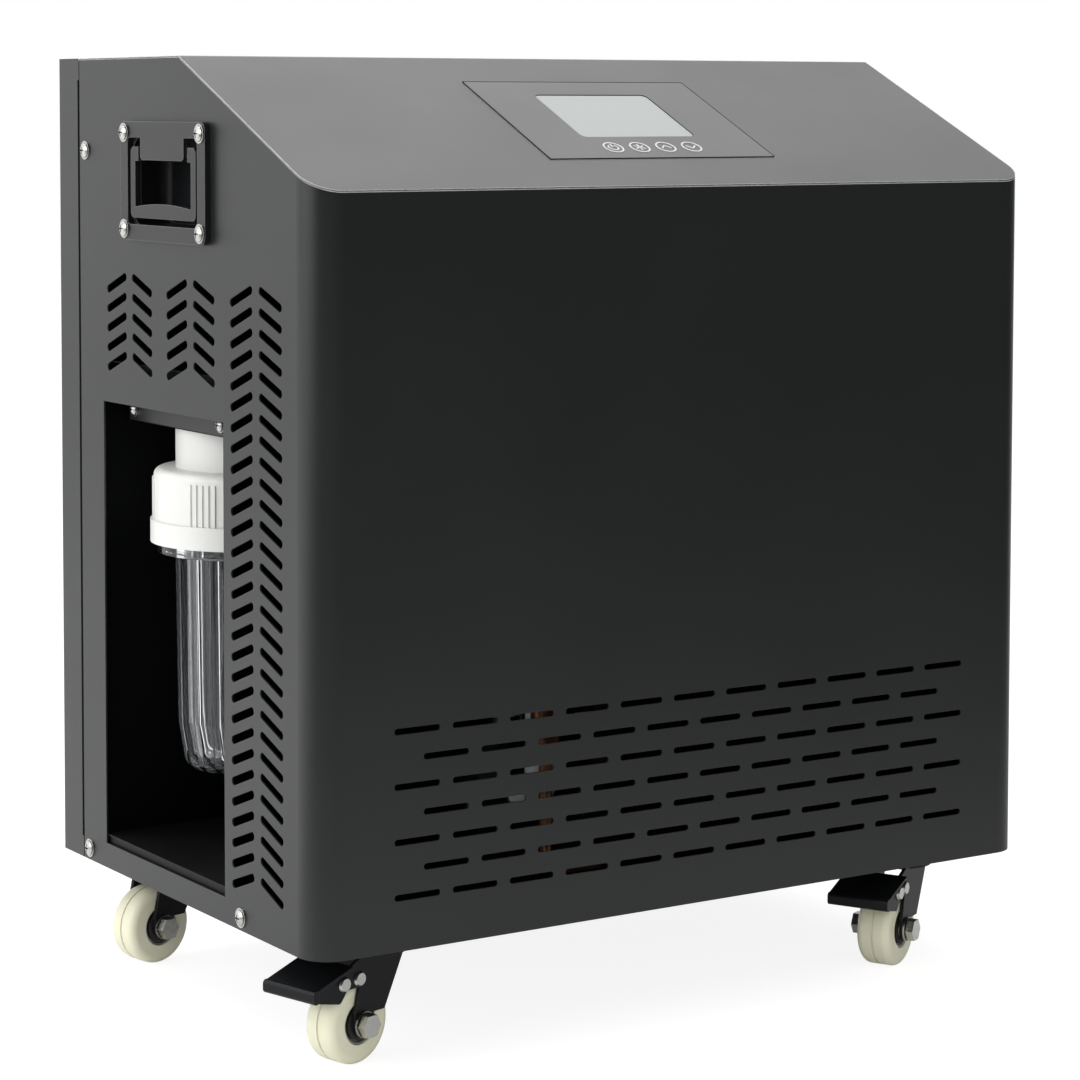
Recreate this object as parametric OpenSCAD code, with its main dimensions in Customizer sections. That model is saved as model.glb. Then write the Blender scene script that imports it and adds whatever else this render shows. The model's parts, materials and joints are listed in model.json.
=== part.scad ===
// Ice bath chiller: a sheet steel cabinet on four casters with a water filter behind a side window.
// Origin: middle of the footprint, on the floor. +X to the right of the wide front, front faces -Y, +Z up.

/* [Cabinet] */
// Width of the case across the front
case_w = 540; // [500:5:700]
// Depth of the case, front sheet to back sheet
case_d = 340; // [330:5:500]
// Height of the case above its underside
case_h = 526; // [500:2:700]
// Sheet steel thickness
sheet = 1.2; // [0.8:0.1:2]
// Outside radius of the two upright front corners
corner_r = 20; // [12:1:30]
// Depth of the sloping front part of the top, seen from above
slope_run = 168; // [140:1:200]
// Height that the slope loses from the flat top to the front
slope_drop = 79; // [60:1:95]
// Outside radius of the bend between flat top and slope
bend_r = 7; // [3:0.5:12]
// Depth of the back panel's folded edge
edge_fold = 27.5; // [20:0.5:35]
// Gap between the folded edge and the side sheet
seam = 3; // [1:0.5:6]

/* [Front vents] */
// Width of a front slot
slot_w = 3.8; // [2:0.1:4.4]
// Length of a front slot
front_slot_l = 31.5; // [20:0.5:36]
// Distance between front slots in a row
front_pitch = 40.2; // [38:0.1:46]
// Distance between front rows
front_row_pitch = 16.4; // [12:0.1:20]
// Number of front rows
front_rows = 7; // [3:1:9]
// Slots in the longer front rows
front_per_row = 11; // [5:2:11]
// Height of the lowest front row above the case's underside
front_row_base = 32; // [24:1:50]

/* [Side vents] */
// Length of a herringbone slot
chev_l = 29.6; // [18:0.2:31]
// Width of a herringbone slot
chev_w = 5.2; // [3:0.1:6]
// Slope of a herringbone slot in degrees
chev_a = 20.4; // [10:0.2:35]
// Half the distance between the two slots of a chevron
chev_half = 18; // [15:0.5:22]
// Distance between herringbone columns
chev_col = 84; // [76:1:92]
// Place of the middle column, forward of the case's middle
chev_mid = 16.2; // [10:0.2:20]
// Height of the top chevron above the case's underside
chev_top = 382.4; // [370:0.2:395]
// Distance between chevrons
chev_pitch = 12.55; // [11:0.05:13]
// Chevrons in the two short columns
chev_short = 5; // [2:1:5]
// Chevrons in the long column
chev_long = 29; // [10:1:29]

/* [Filter window] */
// Width of the window in the left side
win_w = 164.8; // [150:0.5:172]
// Height of the window
win_h = 289; // [260:1:296]
// Height of the window's lower edge above the case's underside
win_z = 16.2; // [15.5:0.1:22]
// Place of the window's middle, behind the case's middle
win_y = 23.7; // [18:0.1:26]
// Depth of the filter bay behind the side sheet
bay_depth = 144; // [138:1:160]

/* [Handles] */
// Width of a handle plate
plate_w = 115; // [108:1:130]
// Height of a handle plate
plate_h = 74.5; // [68:0.5:85]
// How far a handle plate stands proud of the side
plate_t = 4.5; // [3.5:0.1:6]
// Width of the opening in a handle plate
grip_w = 95; // [88:1:98]
// Height of the opening in a handle plate
grip_h = 54.5; // [48:0.5:58]
// Depth of the finger cup
cup_depth = 26; // [20:1:32]
// Place of the handle's middle, behind the case's middle
handle_y = 12.6; // [0:0.2:20]
// Height of the handle's middle above the case's underside
handle_z = 448.3; // [440:0.5:455]

/* [Control panel] */
// Width of the control panel
panel_w = 172; // [150:1:220]
// Height of the control panel along the slope
panel_h = 112; // [100:1:125]
// Width of the display
display_w = 86.5; // [70:0.5:120]
// Height of the display
display_h = 61.5; // [50:0.5:70]
// Diameter of a touch key
key_d = 14; // [10:0.5:16]
// Distance between touch keys
key_pitch = 20; // [18:0.5:30]

/* [Filter] */
// Outside radius of the filter head's lower lip
head_r = 62; // [60:0.5:64]
// Radius of the clear bowl over its ribs, below its flange
bowl_r = 46; // [44:0.5:47]
// Length of the clear bowl below its flange
bowl_l = 146; // [120:1:155]
// Wall of the clear bowl
bowl_wall = 2.6; // [2:0.2:3.6]

/* [Casters] */
// Height from the floor to the underside of the case
ride_h = 74; // [72:0.5:80]
// Caster wheel diameter
wheel_d = 50; // [46:1:52]
// Caster wheel width
wheel_w = 23; // [20:0.5:26]
// Distance from the swivel axis back to the wheel axle
trail = 21; // [18:0.5:24]
// Distance of the swivels in from the case's sides
caster_side = 65; // [60:1:80]
// Distance of the front swivels in from the front
caster_front = 48; // [45:1:70]
// Distance of the rear swivels in from the back
caster_rear = 32; // [30:1:60]

/* [Water] */
// Outside radius of the threaded water ports on the back
spigot_r = 13.2; // [10:0.1:15]
// Bore radius of a water port
spigot_bore = 9.5; // [7:0.5:10]
// Length of a water port behind the back panel
spigot_l = 29.4; // [20:0.2:32]

/* [Fan] */
// Radius of the fan over its blade tips
fan_r = 115; // [90:1:118]
// Number of fan blades
fan_blades_n = 5; // [3:1:7]

/* [Hidden] */
$fn = 48;

// Shared clearances
fit = 0.3;          // gap between pieces that are put together
run = 0.05;         // radial gap of a turning pin
over = 1;           // overrun of a cut

// Places of the case
seam_tab = 2;                            // how much the seam narrows at its ends
z0 = ride_h;                             // underside
z_top = z0 + case_h;                     // flat top
toe_out = 3.4;                           // how far the right pedal's toe stands out before the front
y_mid = (toe_out - spigot_l)/2;          // middle of the case, so that the whole part is centred
y_front = y_mid - case_d/2;
y_back = y_mid + case_d/2;
y_side_rear = y_back - edge_fold - seam; // rear edge of the side sheets
y_cover = y_side_rear + seam_tab;        // rear edge of the top cover
y_slope = y_front + slope_run;           // where the flat top ends
z_slope = z_top - slope_drop;            // lower edge of the slope
slope_a = atan(slope_drop/slope_run);
slope_l = norm([slope_run, slope_drop]);
x_side = case_w/2;
in_x = x_side - sheet;                   // inner face of a side sheet
in_r = corner_r - sheet;

// Base tray and back panel
tray_t = 1.5;
tray_lip = 15;
lip_d = 24;         // how far the back panel's inner lip reaches past its folded edge
lip_over = 6;       // how far the lip is lapped onto the folded edge
lip_z = 22;         // height where the inner lip starts
seam_tab_h = 14;    // the folded edge is deeper at its ends

// Cover returns
return_h = 14;
return_end = 6;

// Screws with a collar under the pan head
screw_r = 2.5;
screw_hole = 2.7;
collar_r = 6;
collar_t = 1;
pan_r = 4.7;
pan_t = 2.4;
pan_dome = 6.5;
cross_l = 5;
cross_w = 0.9;
cross_t = 1.2;
screw_l = 7;
screw_side_y = 130.5; // behind the case's middle
screw_low_y = -79.5;
screw_high_z = 466.5;
screw_low_z = 8;
back_screw_in = 14;

// Handle
plate_r = 5;
hole_r = 3;
screw_in_y = 6;     // handle screw in from the plate's edge
screw_in_z = 7;
tab_w = 59;
tab_h = 14;
tab_t = 2;
tab_r = 3;
cup_t = 1.5;
cup_r = 9;
cup_dish = 8;       // inner radius of the cup's deep corners
bail_side_gap = 3.25;
bail_low_gap = 4.2;
bail_high_gap = 5.8;
bail_t = 4.4;
bail_face_in = 0.6;
bail_arm = 6.2;
bail_arm_top = 10.8;
bail_arm_top_h = 8.8;
bail_grip = 6.9;
bail_bow = 2.3;
bail_r = 4;
rod_r = 3;
rod_in = 1.2;       // depth of the rod's middle behind the side's face
bail_w = grip_w - 2*bail_side_gap;
bail_h = grip_h - bail_low_gap - bail_high_gap;
bail_v = (bail_low_gap - bail_high_gap)/2;     // middle of the bail from the handle's middle
bail_rod_drop = 3.3;
rod_v = bail_v + bail_h/2 - bail_rod_drop;

// Control panel on the slope
panel_mid = slope_l/2;
panel_proud = 0.4;
panel_r = 0.8;
display_r = 4;
display_up = 5.4;
display_t = 1.2;
key_down = 41;
key_t = 0.3;
key_n = 4;
box_lap = 9;        // flange of the box under the cover
box_flange = 1.5;
box_in = 4;
box_d = 22;
box_r = 4;

// Filter bay
wall = 1;
bay_front = win_y - win_w/2 - 4.6*wall;   // inner face of the bay's front wall, from the case's middle
bay_back = win_y + win_w/2 + 4*wall;
bay_floor_z = 22;
bay_top_z = 331;
bay_x0 = -in_x;
bay_x1 = bay_x0 + bay_depth;
rail_h = 39;
rail_in = 17;
strip_t = 2;
strip_w = 134;
strip_drop = 38;
strip_mid = 34;     // behind the case's middle
bracket_screw = 59.6;
bracket_screw_up = 7;
bay_screw_r = 2;
bay_collar_r = 5;

// Filter
flt_x = -201;
flt_y = 39.5;
flt_x_in = case_w/2 + flt_x;    // from the left face
lip_h = 14.6;
collar_h = 27.8;
collar_r2 = 59.7;
shoulder_r = 5;
neck_r = 45.7;
head_z = 218.2;     // lower edge of the head
skirt_r = 50;
skirt_h = 21;
bowl_gap = 0.4;
flange_r = 57.7;
flange_h = 6;
bowl_taper = 5;       // from the flange down to the rounded foot
bowl_waist = 1.5;     // part of the taper above the waist
bowl_waist_h = 31;    // height of the waist above the bowl's foot
bowl_floor_r = 9;
bowl_rib_n = 18;
bowl_rib_turn = 14.5;
bowl_rib_w = 5.3;
bowl_rib_d = 2.6;
seal_r = 1.9;
rib_group = 6;
rib_n = 5;
rib_w = 1.5;
rib_d = 1;
rib_step = 4.1;
rib_turn = 33.6;
port_z = 308;
port_r = 14;
port_bore = 9;
port_l = 62;
pipe_r = 11;

// Machinery
comp_x = 170;
comp_y = 10;
comp_r = 60;
comp_foot_h = 14;
comp_h = 186;
comp_dome = 26;
comp_base_w = 150;
comp_base_t = 3;
comp_foot = 62;
foot_r = 11;
foot_waist = 8;
stub = 19;          // pipe stubs from the compressor's middle
cond_x0 = -50;
cond_x1 = 240;
cond_y = -146;
cond_d = 30;
cond_z0 = 12;
cond_z1 = 228;
fin_n = 46;
fin_t = 1.2;
cond_frame = 1.5;
tube_r = 4;
tube_rows = 8;
tube_out = 9;
fan_x = 125;
fan_z = 290;
fan_depth = 34;
fan_in = 18;
fan_twist = 42;
blade_t = 2.4;
hub_r = 43;
hub_h = 40;
hub_wall = 3;
hub_bore = 4;
ring_gap = 4;
ring_t = 2;
ring_depth = 52;
ring_flange = 16;
motor_r = 38;
motor_t = 16;
guard_wire = 1.8;
guard_rings = 9;
guard_spokes = 8;
guard_spoke = 1.6;
guard_leg = 2.4;
guard_out = 9;
guard_disc_r = 40;
guard_disc_t = 1.6;
ex_x = -70;
ex_y = 95;
ex_r = 50;
ex_h = 262;
ex_dome = 12;
ex_port_z = 60;
pump_y = -60;
pump_r = 38;
pump_d = 30;
pump_z = 62;
pump_motor_r = 33;
pump_motor_l = 78;
pump_fin_n = 12;
pump_fin_h = 3;
pump_foot_w = 56;
pump_foot_t = 4;
pump_port_r = 13;
pump_port_l = 8;
hose_bend = 20;
hose_y = -105;
hose_z = 300;
line_r = 4;
line_bend = 12;
line_z = 330;
liquid_x = -95;
liquid_y = 85;
suction_x = -45;
suction_y = 80;
suction_mid_y = 30;
discharge_z = 250;
drier_r = 9;
drier_l = 90;
drier_z = 100;
drier_neck = 6;
eb_w = 96;
eb_h = 136;
eb_d = 56;
eb_z = 310;
eb_r = 5;
power_x = -165;
power_z = 440;
inlet_w = 27;
inlet_h = 20;
inlet_flange_w = 48;
inlet_flange_t = 2.4;
inlet_depth = 24;
inlet_well = 15;
pin_w = 2;
pin_l = 9;
pin_gap = 7;
switch_gap = 46;
switch_w = 13;
switch_h = 20;
switch_rim = 3;
switch_wall = 1.5;
switch_depth = 16;
rocker_rise = 5.4;
rocker_dip = 1.6;
rocker_gap = 1.4;
rocker_tilt = 8;
rocker_pin = 1.5;

// Water fittings on the back
fit_flange_r = 20;
fit_flange_t = 3;
fit_nut_r = 18;
fit_nut_t = 7;
fit_in_l = 16;

// Casters
mount_w = 60;
mount_d = 50;
mount_t = 2.5;
mount_r = 5;
mount_bolt_x = 22;
mount_bolt_y = 17;
bolt_head_r = 5.5;
bolt_head_h = 3.8;
bolt_r = 3;
bolt_hole = 3.3;
race_r = 21;
race_h = 4.5;
crown_r = 22;
crown_t = 2.5;
king_r = 5;
king_head_r = 8;
king_head_h = 2;
leg_t = 2.3;
leg_gap = 1.2;
leg_half = wheel_w/2 + leg_gap;    // inner face of a leg from the fork's middle
leg_front = 15;
leg_foot = 17.4;    // lower front corner of a leg, before the axle
leg_cut = 6.2;      // and above it
axle_r = 4;
axle_boss = 8;
axle_head_r = 7.5;
axle_head_h = 5.5;
washer_r = 8;
washer_t = 1.2;
rivet_r = 2.5;
rivet_head_r = 4.6;
rivet_head_h = 1.8;
rivet_x = 40.4;     // behind the swivel axis
rivet2_x = 25.3;
rivet_z = 53.5;
tread_r = 5;
groove_w = 1.2;
groove_d = 0.8;
recess_r = 13;
recess_d = 3;
hub_ring_r = 10;
hub_ring_d = 2;
hub_tube_r = 6.2;
pedal_t = 1.6;
pedal_gap = 0.3;
pedal_w = 42;
pedal_lug = 5;
toe_r = 2.5;        // the pedal's points are measured back and up from its pivot
toe_low = [27.1, -3.5];
toe_high = [27.1, -0.5];
tread_back = [26.6, 0];
tread_front = [-4.4, 9.1];
heel = [4.1, -8.1];
heel_r = 3;
shoe_top = [8.4, 6];
shoe_tip = [4.8, -11.4];
angle_fl = 16;
angle_fr = 28;
angle_rl = 13;
angle_rr = 20;
axle_z = wheel_d/2;
crown_z = ride_h - mount_t - race_h - fit - crown_t;

// Colours
black = [0.07, 0.07, 0.075];
grey_steel = [0.36, 0.36, 0.37];
zinc = [0.80, 0.80, 0.78];
white_plastic = [0.93, 0.93, 0.92];
clear = [0.80, 0.88, 0.90, 0.45];
nylon = [0.86, 0.84, 0.72];
copper = [0.75, 0.45, 0.30];
rubber = [0.05, 0.05, 0.05];

// General shapes

module round_rect(w, h, r) {
    square([w - 2*r, h], center = true);
    square([w, h - 2*r], center = true);
    for (x = [-1, 1], y = [-1, 1])
        translate([x*(w/2 - r), y*(h/2 - r)]) circle(r);
}

module slot(l, w) {
    square([l - w, w], center = true);
    for (x = [-1, 1]) translate([x*(l - w)/2, 0]) circle(w/2, $fn = 16);
}

// Block given by its lowest and highest corners
module block(a, b) {
    translate(a) cube(b - a);
}

// Turns (x, y) of a drawing into (Y, Z), extruded along +X
module on_side(x) {
    translate([x, 0, 0]) rotate([90, 0, 90]) children();
}

// Turns (x, y) of a drawing into (X, Z), extruded towards -Y
module on_front(y) {
    translate([0, y, 0]) rotate([90, 0, 0]) children();
}

// Frame of the slope: x across, y up the slope, z out of it
module on_slope() {
    translate([0, y_front, z_slope]) rotate([slope_a, 0, 0]) children();
}

module both_sides() {
    children();
    mirror([1, 0, 0]) children();
}

// Rod from a to b
module rod(a, b, r) {
    v = b - a;
    translate(a) rotate([0, acos(v.z/norm(v)), atan2(v.y, v.x)]) cylinder(h = norm(v), r = r);
}

// Bent pipe through the points, all corners with the same bend radius
module pipe(p, r, bend) {
    n = len(p);
    dir = [for (i = [0:n - 2]) (p[i + 1] - p[i])/norm(p[i + 1] - p[i])];
    turn = [for (i = [1:n - 2]) acos(dir[i - 1]*dir[i])];
    cut = [for (i = [0:n - 1]) i == 0 || i == n - 1 ? 0 : bend*tan(turn[i - 1]/2)];
    for (i = [0:n - 2]) rod(p[i] + dir[i]*cut[i], p[i + 1] - dir[i]*cut[i + 1], r);
    for (i = [1:n - 2]) {
        u = dir[i - 1];
        w = dir[i] - u*(u*dir[i]);
        m = w/norm(w);
        k = -cross(m, u);
        c = p[i] - u*cut[i] + m*bend;
        multmatrix([[-m.x, u.x, k.x, c.x], [-m.y, u.y, k.y, c.y], [-m.z, u.z, k.z, c.z], [0, 0, 0, 1]])
            rotate_extrude(angle = turn[i - 1]) translate([bend, 0]) circle(r);
    }
}

// Pan head screw with a collar, head along +z, shank along -z
module screw(shank = screw_r, collar = collar_r, l = screw_l) {
    k = collar/collar_r;
    difference() {
        union() {
            cylinder(h = collar_t, r = collar, $fn = 32);
            intersection() {
                cylinder(h = collar_t + pan_t, r = pan_r*k, $fn = 32);
                translate([0, 0, collar_t + pan_t - pan_dome*k]) sphere(pan_dome*k, $fn = 32);
            }
        }
        for (a = [0, 90]) rotate(a)
            translate([0, 0, collar_t + pan_t])
                cube([cross_l*k, cross_w, 2*cross_t], center = true);
    }
    translate([0, 0, -l]) cylinder(h = l, r = shank, $fn = 24);
}

// Outline of the case seen from above, with round front corners
module plan(inset = 0, rear = y_back) {
    r = corner_r - inset;
    x = x_side - inset;
    translate([-x, y_front + inset + r]) square([2*x, rear - y_front - inset - r]);
    translate([-x + r, y_front + inset]) square([2*(x - r), r]);
    for (s = [-1, 1]) translate([s*(x - r), y_front + inset + r]) circle(r);
}

// Line of the top seen from the side, lowered by d square to the sheet, from rear to front
// Under the bend's centre the two lines meet in a plain corner.
function bend_points(d) = let (r = bend_r - d, t = bend_r*tan(slope_a/2))
    r <= 0 ? [[y_slope + t - r*tan(slope_a/2), z_top - d]] :
    [for (i = [0:4]) let (f = 90 + slope_a*i/4)
        [y_slope + t + r*cos(f), z_top - bend_r + r*sin(f)]];
function top_line(d, y_start, y_end) = concat([[y_start, z_top - d]], bend_points(d),
    [[y_end, z_slope + (y_end - y_front)*tan(slope_a) - d/cos(slope_a)]]);
function reversed(p) = [for (i = [len(p) - 1:-1:0]) p[i]];

// Case sheets

module chevron_column(y, n) {
    for (i = [0:n - 1], s = [-1, 1])
        translate([y_mid - y + s*chev_half, z0 + chev_top - i*chev_pitch])
            rotate(-s*chev_a) slot(chev_l, chev_w);
}

module side_2d(window) {
    difference() {
        translate([y_front + corner_r, z0]) square([y_side_rear - y_front - corner_r, case_h]);
        chevron_column(chev_mid - chev_col, chev_short);
        chevron_column(chev_mid, chev_short);
        chevron_column(chev_mid + chev_col, chev_long);
        if (window) translate([y_mid + win_y - win_w/2, z0 + win_z]) square([win_w, win_h]);
        translate([y_mid + handle_y, z0 + handle_z])
            round_rect(grip_w + 2*cup_t + 2*fit, grip_h + 2*cup_t + 2*fit, cup_r + cup_t + fit);
        handle_screw_places() circle(screw_hole, $fn = 24);
        side_screw_places() circle(screw_hole, $fn = 24);
    }
}

module handle_screw_places() {
    for (u = [-1, 1], v = [-1, 1])
        translate([y_mid + handle_y + u*(plate_w/2 - screw_in_y), z0 + handle_z + v*(plate_h/2 - screw_in_z)])
            children();
}

module side_screw_places() {
    translate([y_mid + screw_side_y, z0 + screw_high_z]) children();
    translate([y_mid + screw_side_y, z0 + screw_low_z]) children();
    translate([y_mid + screw_low_y, z0 + screw_low_z]) children();
}

module front_2d() {
    difference() {
        translate([-x_side + corner_r, z0]) square([case_w - 2*corner_r, case_h]);
        for (j = [0:front_rows - 1]) {
            m = j % 2 == 0 ? front_per_row : front_per_row - 1;
            for (i = [0:m - 1])
                translate([(i - (m - 1)/2)*front_pitch, z0 + front_row_base + j*front_row_pitch])
                    slot(front_slot_l, slot_w);
        }
    }
}

module corner_post() {
    h = case_h;
    translate([-x_side + corner_r, y_front + corner_r, z0]) rotate(180)
        rotate_extrude(angle = 90) translate([corner_r - sheet, 0]) square([sheet, h]);
}

// Space taken by the cover's sheet and everything above it
module above_cover() {
    y0 = y_front - over;
    y1 = y_side_rear + over;
    on_side(-x_side - over) linear_extrude(case_w + 2*over)
        polygon(concat(top_line(sheet, y1, y0), [[y0, z_top + over], [y1, z_top + over]]));
}

// Front and both sides in one bent sheet
module wrap_shell() {
    color(black) difference() {
        union() {
            on_side(-x_side) linear_extrude(sheet) side_2d(true);
            on_side(x_side - sheet) linear_extrude(sheet) side_2d(false);
            on_front(y_front + sheet) linear_extrude(sheet) front_2d();
            both_sides() corner_post();
        }
        above_cover();
    }
}

// Flat top and slope in one bent sheet, with narrow returns inside the case
module top_cover() {
    y_in = y_front + corner_r + return_end;
    color(black) {
        difference() {
            intersection() {
                on_side(-x_side - over) linear_extrude(case_w + 2*over)
                    polygon(concat(top_line(0, y_cover + over, y_front - over),
                        reversed(top_line(sheet, y_cover + over, y_front - over))));
                linear_extrude(z_top + over) plan(0, y_cover);
            }
            on_slope() translate([0, panel_mid, -over - sheet]) linear_extrude(sheet + 2*over)
                round_rect(panel_w + 2*fit, panel_h + 2*fit, panel_r + fit);
        }
        both_sides() on_side(-in_x + fit) linear_extrude(sheet)
            polygon(concat(top_line(sheet/2, y_side_rear - return_end, y_in),
                reversed(top_line(sheet + return_h, y_side_rear - return_end, y_in))));
        block([-x_side + corner_r + return_end, y_front + sheet + fit, z_slope - return_h],
            [x_side - corner_r - return_end, y_front + 2*sheet + fit, z_slope]);
    }
}

// Back sheet with folded edges, an inner lip for the side screws, and its openings
module back_panel() {
    fold = y_back - edge_fold;
    color(black) {
        on_front(y_back) linear_extrude(sheet) difference() {
            translate([-x_side, z0]) square([case_w, case_h]);
            translate([fan_x, z0 + fan_z]) circle(fan_r + ring_gap, $fn = 96);
            translate([-case_w/2 + flt_x_in, z0 + port_z]) circle(pipe_r + fit);
            translate([ex_x, z0 + ex_port_z]) circle(pipe_r + fit);
            translate([power_x, z0 + power_z]) square([inlet_w + 2*fit, inlet_h + 2*fit], center = true);
            translate([power_x - switch_gap, z0 + power_z])
                square([switch_w + 2*switch_wall + 2*fit, switch_h + 2*switch_wall + 2*fit], center = true);
            back_screw_places() circle(screw_hole, $fn = 24);
        }
        both_sides() {
            block([-x_side, fold, z0], [-in_x, y_back - sheet, z_top]);
            block([-x_side, fold - seam_tab, z0], [-in_x, fold, z0 + seam_tab_h]);
            block([-x_side, fold - seam_tab, z_top - seam_tab_h], [-in_x, fold, z_top - sheet]);
            difference() {
                block([-in_x, fold - lip_d, z0 + lip_z], [-in_x + sheet, fold + lip_over, z_top - lip_z]);
                translate([-in_x - over, y_mid + screw_side_y, z0 + screw_high_z]) rotate([0, 90, 0])
                    cylinder(h = sheet + 2*over, r = screw_hole, $fn = 24);
            }
        }
        block([-in_x, fold, z_top - sheet], [in_x, y_back - sheet, z_top]);
        block([-in_x + return_end, fold - lip_d, z_top - 2*sheet], [in_x - return_end, fold + lip_over, z_top - sheet]);
    }
}

module back_screw_places() {
    for (s = [-1, 1], z = [back_screw_in, case_h/2, case_h - back_screw_in])
        translate([s*(x_side - back_screw_in), z0 + z]) children();
}

// Pan under the machinery with upturned edges inside the case
module base_tray() {
    lip_top = z0 + tray_lip;
    y_r = y_back - sheet;
    color(black) difference() {
        union() {
            translate([0, 0, z0]) linear_extrude(tray_t) plan(sheet, y_r);
            both_sides() block([-in_x, y_front + corner_r, z0], [-in_x + sheet, y_r, lip_top]);
            block([-x_side + corner_r, y_front + sheet, z0], [x_side - corner_r, y_front + 2*sheet, lip_top]);
            block([-in_x + sheet, y_r - sheet, z0], [in_x - sheet, y_r, lip_top]);
        }
        both_sides() for (y = [screw_side_y, screw_low_y])
            translate([-in_x - over, y_mid + y, z0 + screw_low_z]) rotate([0, 90, 0])
                cylinder(h = sheet + 2*over, r = screw_hole, $fn = 24);
        for (s = [-1, 1]) translate([s*(x_side - back_screw_in), y_r + over, z0 + back_screw_in])
            rotate([90, 0, 0]) cylinder(h = sheet + 2*over, r = screw_hole, $fn = 24);
        caster_bolt_places() translate([0, 0, z0 - over]) cylinder(h = tray_t + 2*over, r = bolt_hole, $fn = 24);
    }
}

module screw_left_at(yz) {
    translate([-x_side, yz[0], yz[1]]) rotate([0, -90, 0]) screw();
}

module case_screws() {
    color(zinc) {
        both_sides() {
            screw_left_at([y_mid + screw_side_y, z0 + screw_high_z]);
            screw_left_at([y_mid + screw_side_y, z0 + screw_low_z]);
            screw_left_at([y_mid + screw_low_y, z0 + screw_low_z]);
        }
        for (s = [-1, 1], z = [back_screw_in, case_h/2, case_h - back_screw_in])
            translate([s*(x_side - back_screw_in), y_back, z0 + z]) rotate([-90, 0, 0]) screw();
    }
}

// Filter bay

module filter_bay_liner() {
    yf = y_mid + bay_front;
    yb = y_mid + bay_back;
    zb = z0 + bay_floor_z;
    zt = z0 + bay_top_z;
    color(black) difference() {
        union() {
            block([bay_x0, yf - wall, zb], [bay_x1 + wall, yf, zt + wall]);
            block([bay_x0, yb, zb], [bay_x1 + wall, yb + wall, zt + wall]);
            block([bay_x1, yf, zb], [bay_x1 + wall, yb, zt + wall]);
            block([bay_x0, yf, zt], [bay_x1, yb, zt + wall]);
            block([bay_x0 + rail_in, yf, zt - rail_h], [bay_x0 + rail_in + wall, yb, zt]);
        }
        translate([flt_x_now(), yf - wall - over, z0 + port_z]) rotate([-90, 0, 0])
            cylinder(h = yb - yf + 2*wall + 2*over, r = pipe_r + fit);
        for (s = [-1, 1])
            translate([bay_x0 + rail_in - over, strip_y_now() + s*bracket_screw, bracket_screw_z()])
                rotate([0, 90, 0]) cylinder(h = wall + 2*over, r = bay_screw_r + fit, $fn = 24);
    }
}

function flt_x_now() = -case_w/2 + flt_x_in;
function flt_y_now() = y_mid + flt_y;
function strip_y_now() = y_mid + strip_mid;
function bracket_screw_z() = z0 + bay_top_z - strip_drop + bracket_screw_up;

// Removable floor plate of the bay, lipped up against the walls
module filter_bay_floor() {
    yf = y_mid + bay_front - wall;
    yb = y_mid + bay_back + wall;
    z = z0 + bay_floor_z;
    color(black) {
        block([bay_x0, yf, z - wall], [bay_x1 + wall, yb, z]);
        block([bay_x0 + sheet, yf, z0 + tray_t], [bay_x0 + sheet + wall, yb, z - wall]);
        block([bay_x1, yf, z0 + tray_t], [bay_x1 + wall, yb, z - wall]);
    }
}

// Steel strip screwed to the rail, which stiffens the bay's roof where the head hangs
module filter_bracket() {
    zt = z0 + bay_top_z;
    x = bay_x0 + rail_in;
    color(grey_steel) difference() {
        block([x - strip_t, strip_y_now() - strip_w/2, zt - strip_drop], [x, strip_y_now() + strip_w/2, zt]);
        for (s = [-1, 1])
            translate([x - strip_t - over, strip_y_now() + s*bracket_screw, bracket_screw_z()])
                rotate([0, 90, 0]) cylinder(h = strip_t + 2*over, r = bay_screw_r + fit, $fn = 24);
    }
}

module bracket_screws() {
    x = bay_x0 + rail_in - strip_t;
    color(zinc) for (s = [-1, 1])
        translate([x, strip_y_now() + s*bracket_screw, bracket_screw_z()]) rotate([0, -90, 0])
            screw(bay_screw_r, bay_collar_r, strip_t + wall + 2*over);
}

// Water filter

module at_filter(z) {
    translate([flt_x_now(), flt_y_now(), z0 + z]) children();
}

module filter_head() {
    top = bay_top_z - head_z;
    cavity = skirt_h + 2*seal_r + 2*fit + fit;
    neck_z = lip_h + collar_h + shoulder_r;
    color(white_plastic) at_filter(head_z) {
        difference() {
            union() {
                cylinder(h = lip_h, r = head_r, $fn = 72);
                translate([0, 0, lip_h]) cylinder(h = collar_h, r = collar_r2, $fn = 72);
                translate([0, 0, lip_h + collar_h]) rotate_extrude($fn = 72) {
                    square([collar_r2 - shoulder_r, shoulder_r]);
                    translate([collar_r2 - shoulder_r, 0]) intersection() {
                        circle(shoulder_r, $fn = 32);
                        square(shoulder_r);
                    }
                }
                cylinder(h = top, r = neck_r, $fn = 72);
                for (g = [0:rib_group - 1], i = [0:rib_n - 1])
                    rotate(rib_turn + 360*g/rib_group + (i - (rib_n - 1)/2)*rib_step)
                        translate([collar_r2 - rib_d, -rib_w/2, lip_h - over])
                            cube([2*rib_d, rib_w, collar_h + over - rib_w]);
                for (s = [0, 180]) rotate([-90, 0, s]) translate([0, -(port_z - head_z), 0])
                    cylinder(h = port_l, r = port_r);
            }
            translate([0, 0, -over]) cylinder(h = cavity + over, r = skirt_r + bowl_gap, $fn = 72);
            for (s = [0, 180]) rotate([-90, 0, s]) translate([0, -(port_z - head_z), neck_r/2])
                cylinder(h = port_l, r = port_bore);
        }
    }
}

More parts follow.
